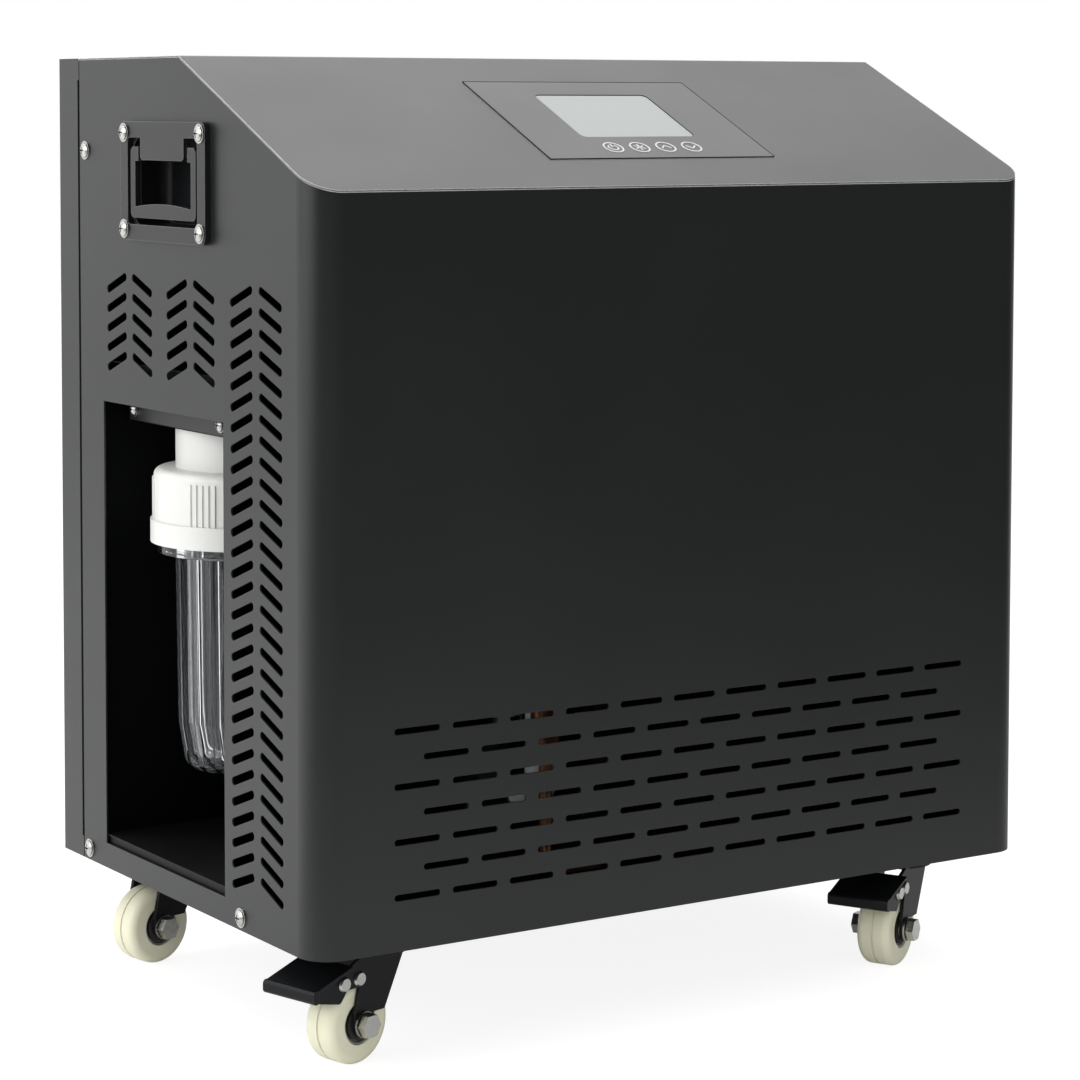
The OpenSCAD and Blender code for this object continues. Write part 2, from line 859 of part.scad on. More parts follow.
// Outline of the clear bowl from its foot up, in (radius, height), drawn in by d
module bowl_outline(d) {
    r2 = bowl_r - bowl_taper - d;
    b = bowl_floor_r;
    difference() {
        union() {
            translate([0, d]) square([r2 - b, bowl_l - flange_h - d]);
            translate([r2 - b, b + d]) circle(b, $fn = 32);
            polygon([[0, b + d], [r2, b + d], [bowl_r - bowl_waist - d, bowl_waist_h],
                [bowl_r - d, bowl_l - flange_h], [0, bowl_l - flange_h]]);
        }
        translate([-bowl_r, -over]) square([bowl_r, bowl_l + 2*over]);
    }
}

// Clear bowl that screws up into the head, with bold upright ribs
module filter_bowl() {
    in_r = bowl_r - bowl_rib_d - bowl_wall;
    color(clear) at_filter(head_z - fit) difference() {
        union() {
            cylinder(h = skirt_h, r = skirt_r, $fn = 72);
            translate([0, 0, -flange_h]) cylinder(h = flange_h, r = flange_r, $fn = 72);
            translate([0, 0, -bowl_l]) {
                rotate_extrude($fn = 72) bowl_outline(bowl_rib_d);
                for (i = [0:bowl_rib_n - 1]) rotate([90, 0, bowl_rib_turn + 360*i/bowl_rib_n])
                    translate([0, 0, -bowl_rib_w/2]) linear_extrude(bowl_rib_w) bowl_outline(0);
            }
        }
        translate([0, 0, -bowl_l]) rotate_extrude($fn = 72) {
            bowl_outline(bowl_rib_d + bowl_wall);
            translate([0, bowl_l - flange_h - over]) square([in_r, flange_h + skirt_h + 2*over]);
        }
    }
}

module bowl_seal() {
    color(rubber) at_filter(head_z - fit + skirt_h + fit + seal_r) rotate_extrude($fn = 72)
        translate([skirt_r - bowl_wall, 0]) circle(seal_r, $fn = 24);
}

// Control panel

module control_panel() {
    color(grey_steel) on_slope() translate([0, panel_mid, -sheet]) linear_extrude(sheet + panel_proud)
        difference() {
            round_rect(panel_w, panel_h, panel_r);
            translate([0, display_up]) round_rect(display_w + 2*fit, display_h + 2*fit, display_r + fit);
        }
}

module display_window() {
    color([0.78, 0.81, 0.81]) on_slope()
        translate([0, panel_mid + display_up, -sheet]) linear_extrude(display_t)
            round_rect(display_w, display_h, display_r);
}

module touch_keys() {
    color(white_plastic) on_slope() for (i = [0:key_n - 1])
        translate([(i - (key_n - 1)/2)*key_pitch, panel_mid - key_down, panel_proud])
            cylinder(h = key_t, d = key_d);
}

module control_box() {
    color(black) on_slope() translate([0, panel_mid, -sheet]) {
        translate([0, 0, -box_flange]) linear_extrude(box_flange)
            round_rect(panel_w + 2*box_lap, panel_h + 2*box_lap, box_r);
        translate([0, 0, -box_flange - box_d]) linear_extrude(box_d)
            round_rect(panel_w - 2*box_in, panel_h - 2*box_in, box_r);
    }
}

// Handles, drawn for the left side: x is +Y, y is +Z, z is into the case

module handle_frame() {
    translate([-x_side, y_mid + handle_y, z0 + handle_z]) rotate([90, 0, 90]) children();
}

module cup_body(grow, rim) {
    r = cup_dish + grow;
    w = grip_w + 2*grow;
    h = grip_h + 2*grow;
    d = cup_depth - cup_t + grow;
    intersection() {
        translate([0, 0, -rim]) linear_extrude(d + rim) round_rect(w, h, cup_r + grow);
        translate([0, h/2 + over, 0]) rotate([90, 0, 0]) linear_extrude(h + 2*over) {
            translate([-w/2, -rim]) square([w, d + rim - r]);
            translate([-w/2 + r, -rim]) square([w - 2*r, d + rim]);
            for (s = [-1, 1]) translate([s*(w/2 - r), d - r]) circle(r);
        }
    }
}

module handle_plate() {
    handle_frame() difference() {
        union() {
            translate([0, 0, -plate_t]) linear_extrude(plate_t) difference() {
                round_rect(plate_w, plate_h, plate_r);
                round_rect(grip_w, grip_h, hole_r);
            }
            translate([0, 0, -plate_t]) linear_extrude(tab_t) {
                translate([-tab_w/2, grip_h/2 - tab_h + tab_r]) square([tab_w, tab_h]);
                translate([-tab_w/2 + tab_r, grip_h/2 - tab_h]) square([tab_w - 2*tab_r, tab_h]);
                for (s = [-1, 1]) translate([s*(tab_w/2 - tab_r), grip_h/2 - tab_h + tab_r]) circle(tab_r);
            }
            difference() {
                cup_body(cup_t, 0);
                cup_body(0, over);
            }
        }
        for (u = [-1, 1], v = [-1, 1])
            translate([u*(plate_w/2 - screw_in_y), v*(plate_h/2 - screw_in_z), -plate_t - over])
                cylinder(h = plate_t + 2*over, r = screw_hole, $fn = 24);
        translate([-grip_w/2 - cup_t - over, rod_v, rod_in]) rotate([0, 90, 0])
            cylinder(h = grip_w + 2*cup_t + 2*over, r = rod_r + run, $fn = 32);
    }
}

module handle_bail() {
    y_hi = bail_v + bail_h/2;
    y_lo = bail_v - bail_h/2;
    in_w = bail_w - 2*bail_arm;
    bow_r = (pow(in_w/2, 2) + pow(bail_bow, 2))/(2*bail_bow);
    handle_frame() {
        translate([0, 0, -plate_t + bail_face_in]) linear_extrude(bail_t) {
            difference() {
                translate([0, bail_v]) round_rect(bail_w, bail_h, bail_r);
                translate([-in_w/2, y_lo + bail_grip]) square([in_w, bail_h]);
            }
            intersection() {
                translate([0, y_lo + bail_grip + bail_bow - bow_r]) circle(bow_r, $fn = 240);
                translate([-in_w/2, y_lo + bail_r]) square([in_w, bail_grip + bail_bow]);
            }
            for (s = [0, 1]) mirror([s, 0])
                translate([-bail_w/2 + bail_arm, y_hi - bail_arm_top_h])
                    square([bail_arm_top - bail_arm, bail_arm_top_h]);
        }
        translate([-grip_w/2 - cup_t + fit, rod_v, rod_in]) rotate([0, 90, 0])
            cylinder(h = grip_w + 2*cup_t - 2*fit, r = rod_r, $fn = 32);
    }
}

module handle_plate_left() {
    color(black) handle_plate();
}

module handle_plate_right() {
    color(black) mirror([1, 0, 0]) handle_plate();
}

module handle_bail_left() {
    color(black) handle_bail();
}

module handle_bail_right() {
    color(black) mirror([1, 0, 0]) handle_bail();
}

module handle_screws() {
    color(zinc) both_sides() for (u = [-1, 1], v = [-1, 1])
        handle_frame() translate([u*(plate_w/2 - screw_in_y), v*(plate_h/2 - screw_in_z), -plate_t])
            rotate([180, 0, 0]) screw(l = plate_t + screw_l);
}

// Machinery inside

module compressor() {
    color(rubber) translate([comp_x, y_mid + comp_y, z0 + tray_t + comp_foot_h]) {
        linear_extrude(comp_base_t) round_rect(comp_base_w, comp_base_w, foot_r);
        translate([0, 0, comp_base_t]) rotate_extrude() {
            square([comp_r, comp_h - comp_dome]);
            square([comp_r - comp_dome, comp_h]);
            translate([comp_r - comp_dome, comp_h - comp_dome]) intersection() {
                circle(comp_dome);
                square(comp_dome);
            }
        }
    }
}

module compressor_feet() {
    color(rubber) for (u = [-1, 1], v = [-1, 1])
        translate([comp_x + u*comp_foot, y_mid + comp_y + v*comp_foot, z0 + tray_t]) {
            cylinder(h = comp_foot_h/3, r = foot_r);
            cylinder(h = comp_foot_h, r = foot_waist);
            translate([0, 0, comp_foot_h*2/3]) cylinder(h = comp_foot_h/3, r = foot_r);
        }
}

module condenser_fins() {
    x0 = cond_x0 + cond_frame;
    x1 = cond_x1 - cond_frame;
    step = (x1 - x0 - fin_t)/(fin_n - 1);
    ya = y_mid + cond_y - cond_d/2;
    yb = ya + cond_d;
    color(grey_steel) {
        for (x = [cond_x0, x1]) block([x, ya, z0 + tray_t], [x + cond_frame, yb, z0 + cond_z1]);
        for (z = [cond_z0, cond_z1 - cond_frame]) block([x0, ya, z0 + z], [x1, yb, z0 + z + cond_frame]);
        for (i = [1:fin_n - 2])
            block([x0 + i*step, ya + fin_t, z0 + cond_z0 + cond_frame],
                [x0 + i*step + fin_t, yb - fin_t, z0 + cond_z1 - cond_frame]);
    }
}

function tube_z(i) = z0 + cond_z0 + (i + 0.5)*(cond_z1 - cond_z0)/tube_rows;

module condenser_tubes() {
    y = y_mid + cond_y;
    gap = (cond_z1 - cond_z0)/tube_rows;
    color(copper) for (s = [0, 1], i = [0:2:tube_rows - 2 - s])
        translate([s == 0 ? cond_x1 : cond_x0, y, (tube_z(i + s) + tube_z(i + s + 1))/2])
            rotate([90, s == 0 ? 0 : 180, 0]) translate([0, 0, 0]) {
                rotate([0, 0, -90]) translate([0, tube_out - tube_r, 0])
                    rotate_extrude(angle = 180) translate([gap/2, 0]) circle(tube_r, $fn = 24);
                for (v = [-1, 1]) translate([0, v*gap/2, 0]) rotate([0, 90, 0])
                    cylinder(h = tube_out - tube_r, r = tube_r, $fn = 24);
            }
}

module at_fan() {
    translate([fan_x, y_back, z0 + fan_z]) rotate([90, 0, 0]) children();
}

module fan_ring() {
    color(black) at_fan() translate([0, 0, sheet]) difference() {
        union() {
            cylinder(h = ring_depth, r = fan_r + ring_gap + ring_t, $fn = 96);
            linear_extrude(ring_t) square(2*(fan_r + ring_gap + ring_flange/2), center = true);
        }
        translate([0, 0, -over]) cylinder(h = ring_depth + 2*over, r = fan_r + ring_gap, $fn = 96);
    }
}

// Fixed half of the motor: flange on the guard's disc and the shaft
module fan_motor() {
    color(grey_steel) at_fan() {
        translate([0, 0, -guard_out + guard_disc_t]) cylinder(h = guard_out - guard_disc_t + motor_t, r = motor_r);
        translate([0, 0, motor_t]) cylinder(h = fan_in + hub_h - motor_t + fit + hub_wall, r = hub_bore, $fn = 32);
        translate([0, 0, fan_in + hub_h + fit]) cylinder(h = hub_wall, r = 2*hub_bore, $fn = 6);
    }
}

// Turning half: hub and twisted blades
module fan_blades() {
    color(rubber) at_fan() {
        translate([0, 0, fan_in]) difference() {
            cylinder(h = hub_h, r = hub_r);
            translate([0, 0, -over]) cylinder(h = hub_h + 2*over, r = hub_bore + run, $fn = 32);
        }
        for (i = [0:fan_blades_n - 1]) rotate(360*i/fan_blades_n)
            translate([0, 0, fan_in + (hub_h - fan_depth)/2])
                linear_extrude(fan_depth, twist = fan_twist, slices = 10, segments = 24)
                    translate([hub_r - blade_t, -blade_t/2]) square([fan_r - hub_r + blade_t, blade_t]);
    }
}

// Wire guard with a disc that carries the motor
module fan_guard() {
    r1 = fan_r + ring_gap + ring_flange/2;
    step = (r1 - guard_disc_r)/guard_rings;
    color(zinc) at_fan() translate([0, 0, -guard_out]) {
        cylinder(h = guard_disc_t, r = guard_disc_r);
        for (i = [1:guard_rings]) rotate_extrude($fn = 72)
            translate([guard_disc_r + i*step, 0]) circle(guard_wire, $fn = 16);
        for (i = [0:guard_spokes - 1]) rotate(360*i/guard_spokes) {
            rod([guard_disc_r - guard_spoke, 0, guard_wire], [r1, 0, guard_wire], guard_spoke);
            rod([r1, 0, guard_wire], [r1, 0, guard_out], guard_leg);
        }
    }
}

module heat_exchanger() {
    color(rubber) translate([ex_x, y_mid + ex_y, z0 + tray_t]) {
        cylinder(h = ex_h - ex_dome, r = ex_r);
        translate([0, 0, ex_h - ex_dome]) rotate_extrude() {
            square([ex_r - ex_dome, ex_dome]);
            translate([ex_r - ex_dome, 0]) intersection() {
                circle(ex_dome);
                square(ex_dome);
            }
        }
    }
}

module pump_body() {
    color(rubber) translate([ex_x, y_mid + pump_y, z0]) {
        translate([0, -pump_d/2, pump_z]) rotate([-90, 0, 0]) cylinder(h = pump_d, r = pump_r);
        translate([0, -pump_d/2 - pump_port_l, pump_z]) rotate([-90, 0, 0])
            cylinder(h = pump_port_l + over, r = pump_port_r);
        translate([0, 0, pump_z]) cylinder(h = pump_r + pump_port_l, r = pump_port_r);
        block([-pump_foot_w/2, -pump_d/2, tray_t], [pump_foot_w/2, pump_d/2, tray_t + pump_foot_t]);
        block([-pump_port_r, -pump_d/2, tray_t], [pump_port_r, pump_d/2, pump_z]);
    }
}

module pump_motor() {
    color(grey_steel) translate([ex_x, y_mid + pump_y + pump_d/2, z0 + pump_z]) rotate([-90, 0, 0]) {
        cylinder(h = pump_motor_l, r = pump_motor_r);
        for (i = [0:pump_fin_n - 1]) rotate(360*i/pump_fin_n)
            translate([pump_motor_r - over, -over/2, pump_fin_h])
                cube([pump_fin_h + over, over, pump_motor_l - 2*pump_fin_h]);
    }
}

module refrigerant_lines() {
    ytop = z0 + tray_t + ex_h;
    comp_top = z0 + tray_t + comp_foot_h + comp_base_t + comp_h;
    cy = y_mid + cond_y;
    color(copper) {
        pipe([[comp_x + stub, y_mid + comp_y - stub, comp_top], [comp_x + stub, y_mid + comp_y - stub, z0 + discharge_z],
            [comp_x + stub, cy, z0 + discharge_z], [comp_x + stub, cy, z0 + cond_z1]], line_r, line_bend);
        pipe([[cond_x0, cy, tube_z(0)], [liquid_x, cy, tube_z(0)], [liquid_x, cy, z0 + drier_z]], line_r, line_bend);
        pipe([[liquid_x, cy, z0 + drier_z + drier_l], [liquid_x, cy, z0 + line_z],
            [liquid_x, y_mid + liquid_y, z0 + line_z], [liquid_x, y_mid + liquid_y, ytop]], line_r, line_bend);
        pipe([[suction_x, y_mid + suction_y, ytop], [suction_x, y_mid + suction_y, z0 + line_z],
            [suction_x, y_mid + suction_mid_y, z0 + line_z], [comp_x - stub, y_mid + suction_mid_y, z0 + line_z],
            [comp_x - stub, y_mid + suction_mid_y, comp_top]], line_r, line_bend);
    }
}

module filter_drier() {
    color(copper) translate([liquid_x, y_mid + cond_y, z0 + drier_z]) {
        cylinder(h = drier_neck, r1 = line_r, r2 = drier_r);
        translate([0, 0, drier_neck]) cylinder(h = drier_l - 2*drier_neck, r = drier_r);
        translate([0, 0, drier_l - drier_neck]) cylinder(h = drier_neck, r1 = drier_r, r2 = line_r);
    }
}

// Straight pipe from the inlet fitting to the filter head's rear port
module inlet_pipe() {
    color(white_plastic) rod([flt_x_now(), flt_y_now() + port_l, z0 + port_z],
        [flt_x_now(), y_back - sheet - fit_in_l, z0 + port_z], pipe_r);
}

module water_hoses() {
    x = flt_x_now();
    pz = z0 + pump_z;
    py = y_mid + pump_y;
    color(white_plastic) {
        pipe([[x, flt_y_now() - port_l, z0 + port_z], [x, y_mid + hose_y, z0 + port_z],
            [ex_x, y_mid + hose_y, z0 + port_z], [ex_x, y_mid + hose_y, pz],
            [ex_x, py - pump_d/2 - pump_port_l, pz]], pipe_r, hose_bend);
        pipe([[ex_x, py, pz + pump_r + pump_port_l], [ex_x, py, z0 + hose_z],
            [ex_x, y_mid + ex_y, z0 + hose_z], [ex_x, y_mid + ex_y, z0 + tray_t + ex_h]], pipe_r, hose_bend);
    }
}

module electrics_box() {
    color(grey_steel) translate([ex_x, y_back - sheet, z0 + eb_z + eb_h/2]) rotate([90, 0, 0])
        linear_extrude(eb_d) round_rect(eb_w, eb_h, eb_r);
}

// Spigot with barbs, flange outside and nut inside the back panel
module water_fitting(x, z, l_in) {
    translate([x, y_back, z0 + z]) rotate([-90, 0, 0]) difference() {
        union() {
            cylinder(h = spigot_l, r = spigot_r);
            cylinder(h = fit_flange_t, r = fit_flange_r);
            translate([0, 0, -sheet - l_in]) cylinder(h = sheet + l_in, r = pipe_r);
            translate([0, 0, -sheet - fit_nut_t]) cylinder(h = fit_nut_t, r = fit_nut_r, $fn = 6);
        }
        translate([0, 0, fit_flange_t]) cylinder(h = spigot_l, r = spigot_bore);
    }
}

module water_inlet_fitting() {
    color(white_plastic) water_fitting(flt_x_now(), port_z, fit_in_l);
}

module water_outlet_fitting() {
    color(white_plastic) water_fitting(ex_x, ex_port_z, y_back - sheet - y_mid - ex_y - ex_r);
}

// Appliance inlet with three pins in its well
module power_inlet() {
    color(rubber) translate([power_x, y_back, z0 + power_z]) rotate([-90, 0, 0]) {
        difference() {
            union() {
                linear_extrude(inlet_flange_t) round_rect(inlet_flange_w - 2*switch_rim,
                    inlet_h + 4*switch_rim, switch_rim);
                translate([0, 0, -inlet_depth]) linear_extrude(inlet_depth)
                    square([inlet_w, inlet_h], center = true);
            }
            translate([0, 0, inlet_flange_t - inlet_well]) linear_extrude(inlet_well + over)
                square([inlet_w - 2*switch_rim/2, inlet_h - 2*switch_rim/2], center = true);
        }
        for (i = [-1, 0, 1])
            translate([i*pin_gap - pin_w/2, (i == 0 ? -1 : 1)*pin_w, inlet_flange_t - inlet_well])
                cube([pin_w, 2*pin_w, pin_l]);
    }
}

module at_switch() {
    translate([power_x - switch_gap, y_back, z0 + power_z]) rotate([-90, 0, 0]) children();
}

module switch_frame() {
    color(rubber) at_switch() difference() {
        union() {
            linear_extrude(inlet_flange_t)
                square([switch_w + 2*switch_rim, switch_h + 2*switch_rim], center = true);
            translate([0, 0, -switch_depth]) linear_extrude(switch_depth)
                square([switch_w + 2*switch_wall, switch_h + 2*switch_wall], center = true);
        }
        translate([0, 0, -switch_depth + switch_wall]) linear_extrude(switch_depth + inlet_flange_t)
            square([switch_w, switch_h], center = true);
        translate([-switch_w/2 - switch_wall/2, 0, -rocker_pin]) rotate([0, 90, 0])
            cylinder(h = switch_w + switch_wall, r = rocker_pin + run, $fn = 24);
    }
}

// Rocker with a shallow V across its face, tipped to its off side
module power_switch() {
    l = switch_h/2 - rocker_gap;
    w = switch_w - 2*fit;
    color(rubber) at_switch() translate([0, 0, -rocker_pin]) rotate([rocker_tilt, 0, 0]) {
        rotate([90, 0, 90]) translate([0, 0, -w/2]) linear_extrude(w)
            polygon([[-l, -rocker_pin], [0, -2*rocker_pin], [l, -rocker_pin],
                [l, rocker_rise], [0, rocker_rise - rocker_dip], [-l, rocker_rise]]);
        translate([-switch_w/2 - switch_wall/2 + fit, 0, 0]) rotate([0, 90, 0])
            cylinder(h = switch_w + switch_wall - 2*fit, r = rocker_pin, $fn = 24);
    }
}

// Casters, drawn with the swivel axis at the origin and the wheel behind it along -x

module at_caster(right, rear, a) {
    translate([(right ? 1 : -1)*(x_side - caster_side),
        rear ? y_back - caster_rear : y_front + caster_front, 0]) rotate(a) children();
}

module caster_plates() {
    color(black) for (right = [false, true], rear = [false, true]) at_caster(right, rear, 0) {
        difference() {
            translate([0, 0, ride_h - mount_t]) linear_extrude(mount_t) round_rect(mount_w, mount_d, mount_r);
            for (u = [-1, 1], v = [-1, 1]) translate([u*mount_bolt_x, v*mount_bolt_y, ride_h - mount_t - over])
                cylinder(h = mount_t + 2*over, r = bolt_hole, $fn = 24);
        }
        translate([0, 0, ride_h - mount_t - race_h]) cylinder(h = race_h, r = race_r);
        translate([0, 0, crown_z - fit]) cylinder(h = ride_h - crown_z, r = king_r, $fn = 32);
        translate([0, 0, crown_z - fit - king_head_h]) cylinder(h = king_head_h, r = king_head_r, $fn = 32);
    }
}

module caster_bolt_places() {
    for (right = [false, true], rear = [false, true], u = [-1, 1], v = [-1, 1])
        at_caster(right, rear, 0) translate([u*mount_bolt_x, v*mount_bolt_y, 0]) children();
}

// Hex bolts that hold the caster plates to the tray, nuts inside
module caster_bolts() {
    color(zinc) caster_bolt_places() {
        translate([0, 0, ride_h - mount_t - bolt_head_h]) cylinder(h = bolt_head_h, r = bolt_head_r, $fn = 6);
        translate([0, 0, ride_h - mount_t - bolt_head_h])
            cylinder(h = bolt_head_h + mount_t + tray_t + bolt_head_h + over, r = bolt_r, $fn = 24);
        translate([0, 0, z0 + tray_t]) cylinder(h = bolt_head_h, r = bolt_head_r, $fn = 6);
    }
}

module leg_2d(brake) {
    z_hi = crown_z + crown_t;
    z_cut = axle_z + leg_cut;
    difference() {
        union() {
            translate([-trail, axle_z]) circle(axle_boss, $fn = 32);
            translate([-trail - axle_boss, axle_z]) square([2*axle_boss, leg_cut + rivet_r]);
            polygon([[-trail - axle_boss, z_cut], [-trail + leg_foot, z_cut], [leg_front, z_hi], [-trail, z_hi]]);
            if (brake) hull() {
                translate([-rivet_x, rivet_z]) circle(pedal_lug, $fn = 32);
                translate([-trail, z_hi - rivet_r]) square([rivet_r, rivet_r]);
                translate([-rivet2_x, rivet_z]) circle(pedal_lug, $fn = 32);
            }
        }
        translate([-trail, axle_z]) circle(axle_r + run, $fn = 32);
        if (brake) for (x = [rivet_x, rivet2_x]) translate([-x, rivet_z]) circle(rivet_r + run, $fn = 24);
    }
}

module caster_fork(brake) {
    difference() {
        union() {
            translate([0, 0, crown_z]) linear_extrude(crown_t) {
                circle(crown_r);
                translate([-trail, -leg_half - leg_t]) square([trail + leg_front, 2*(leg_half + leg_t)]);
            }
            for (s = [0, 1]) mirror([0, s, 0])
                translate([0, -leg_half, 0]) rotate([90, 0, 0]) linear_extrude(leg_t) leg_2d(brake);
        }
        translate([0, 0, crown_z - over]) cylinder(h = crown_t + 2*over, r = king_r + run, $fn = 32);
    }
}

// Hex bolt and nut through the wheel, and the two rivets of a braked fork
module caster_axle(brake) {
    y = leg_half + leg_t;
    translate([-trail, 0, axle_z]) rotate([90, 0, 0]) {
        translate([0, 0, -y - washer_t]) cylinder(h = 2*(y + washer_t), r = axle_r, $fn = 32);
        for (s = [0, 1]) mirror([0, 0, s]) translate([0, 0, y]) {
            cylinder(h = washer_t, r = washer_r, $fn = 32);
            translate([0, 0, washer_t]) cylinder(h = axle_head_h, r = axle_head_r, $fn = 6);
        }
    }
    if (brake) {
        y2 = y + pedal_gap + pedal_t + pedal_gap;
        translate([-rivet_x, 0, rivet_z]) rotate([90, 0, 0]) {
            translate([0, 0, -y2]) cylinder(h = 2*y2, r = rivet_r, $fn = 24);
            for (s = [0, 1]) mirror([0, 0, s]) translate([0, 0, y2])
                cylinder(h = rivet_head_h, r1 = rivet_head_r, r2 = rivet_head_r - rivet_head_h/2, $fn = 24);
        }
        translate([-rivet2_x, 0, rivet_z]) rotate([90, 0, 0]) {
            translate([0, 0, -y]) cylinder(h = 2*y, r = rivet_r, $fn = 24);
            for (s = [0, 1]) mirror([0, 0, s]) translate([0, 0, y])
                cylinder(h = rivet_head_h, r1 = rivet_head_r, r2 = rivet_head_r - rivet_head_h/2, $fn = 24);
        }
    }
}

module caster_wheel() {
    h = wheel_w/2;
    translate([-trail, 0, axle_z]) rotate([90, 0, 0]) rotate_extrude($fn = 72) difference() {
        union() {
            translate([0, -h + tread_r]) square([wheel_d/2, wheel_w - 2*tread_r]);
            translate([0, -h]) square([wheel_d/2 - tread_r, wheel_w]);
            for (s = [-1, 1]) translate([wheel_d/2 - tread_r, s*(h - tread_r)]) circle(tread_r, $fn = 32);
            translate([0, -leg_half + fit]) square([hub_tube_r, 2*(leg_half - fit)]);
        }
        translate([-wheel_d, -wheel_d]) square([wheel_d + axle_r + run, 2*wheel_d]);
        translate([wheel_d/2 - groove_d, -groove_w/2]) square([groove_d + over, groove_w]);
        for (s = [0, 1]) mirror([0, s]) {
            translate([hub_ring_r, h - recess_d]) square([recess_r - hub_ring_r, recess_d + over]);
            translate([hub_tube_r, h - hub_ring_d]) square([hub_ring_r - hub_tube_r - groove_w, hub_ring_d + over]);
        }
    }
}

// A point of the pedal, given back and up from its pivot
function pedal_at(p) = [-rivet_x - p[0], rivet_z + p[1]];

// Plate of the pedal seen from the side, from a to b, its thickness on the left of that way
module pedal_plate(a, b) {
    v = (b - a)/norm(b - a);
    n = [-v.y, v.x]*pedal_t;
    polygon([a, b, b + n, a + n]);
}

module pedal_cheek() {
    difference() {
        hull() {
            translate(pedal_at([0, 0])) circle(pedal_lug, $fn = 32);
            translate(pedal_at(heel)) circle(heel_r, $fn = 24);
            for (p = [tread_back, tread_front]) translate(pedal_at(p)) circle(pedal_t/2, $fn = 16);
            translate(pedal_at(toe_low)) circle(toe_r, $fn = 24);
        }
        translate(pedal_at([0, 0])) circle(rivet_r + run, $fn = 24);
    }
}

// Pedal stamped from sheet: two cheeks outside the fork, a sloping tread with a rolled toe, and a brake shoe
module brake_pedal() {
    y_in = leg_half + leg_t + pedal_gap;
    shoe_w = 2*(leg_half - leg_gap);
    for (s = [0, 1]) mirror([0, s, 0])
        translate([0, -y_in, 0]) rotate([90, 0, 0]) linear_extrude(pedal_t) pedal_cheek();
    translate([0, pedal_w/2, 0]) rotate([90, 0, 0]) linear_extrude(pedal_w) {
        pedal_plate(pedal_at(tread_back), pedal_at(tread_front));
        for (p = [toe_low, toe_high]) translate(pedal_at(p)) circle(toe_r, $fn = 24);
        translate(pedal_at(toe_low) - [toe_r, 0]) square([2*toe_r, toe_high[1] - toe_low[1]]);
    }
    translate([0, shoe_w/2, 0]) rotate([90, 0, 0]) linear_extrude(shoe_w)
        pedal_plate(pedal_at(shoe_tip), pedal_at(shoe_top));
}

module caster_fork_fl() { color(black) at_caster(false, false, angle_fl) caster_fork(true); }
module caster_fork_fr() { color(black) at_caster(true, false, angle_fr) caster_fork(true); }
module caster_fork_rl() { color(black) at_caster(false, true, angle_rl) caster_fork(false); }
module caster_fork_rr() { color(black) at_caster(true, true, angle_rr) caster_fork(false); }
module caster_axle_fl() { color(zinc) at_caster(false, false, angle_fl) caster_axle(true); }
module caster_axle_fr() { color(zinc) at_caster(true, false, angle_fr) caster_axle(true); }
module caster_axle_rl() { color(zinc) at_caster(false, true, angle_rl) caster_axle(false); }
module caster_axle_rr() { color(zinc) at_caster(true, true, angle_rr) caster_axle(false); }
module caster_wheel_fl() { color(nylon) at_caster(false, false, angle_fl) caster_wheel(); }
module caster_wheel_fr() { color(nylon) at_caster(true, false, angle_fr) caster_wheel(); }
module caster_wheel_rl() { color(nylon) at_caster(false, true, angle_rl) caster_wheel(); }
module caster_wheel_rr() { color(nylon) at_caster(true, true, angle_rr) caster_wheel(); }
module brake_pedal_fl() { color(black) at_caster(false, false, angle_fl) brake_pedal(); }
module brake_pedal_fr() { color(black) at_caster(true, false, angle_fr) brake_pedal(); }

wrap_shell();
top_cover();
back_panel();
base_tray();
filter_bay_liner();
filter_bay_floor();
control_panel();
display_window();
touch_keys();
control_box();
case_screws();
handle_plate_left();
handle_plate_right();
handle_bail_left();
handle_bail_right();
handle_screws();
filter_bracket();
bracket_screws();
filter_head();
filter_bowl();
bowl_seal();
compressor();
compressor_feet();
condenser_fins();
condenser_tubes();
fan_ring();
fan_motor();
fan_blades();
fan_guard();
heat_exchanger();
pump_body();
pump_motor();
refrigerant_lines();
filter_drier();
inlet_pipe();
water_hoses();
electrics_box();
water_inlet_fitting();
water_outlet_fitting();
power_inlet();
switch_frame();
power_switch();
caster_plates();
caster_bolts();
caster_fork_fl();
caster_fork_fr();
caster_fork_rl();
caster_fork_rr();
caster_axle_fl();
caster_axle_fr();
caster_axle_rl();
caster_axle_rr();
caster_wheel_fl();
caster_wheel_fr();
caster_wheel_rl();
caster_wheel_rr();
brake_pedal_fl();
brake_pedal_fr();
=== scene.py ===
"""Dresses the ice bath chiller: finishes for every solid, its fine pieces, studio and camera."""

import json
import logging
import math
from dataclasses import dataclass, field
from enum import Enum
from typing import Any, Callable, ClassVar, Iterable, Optional

import bmesh
import bpy
from mathutils import Matrix, Vector

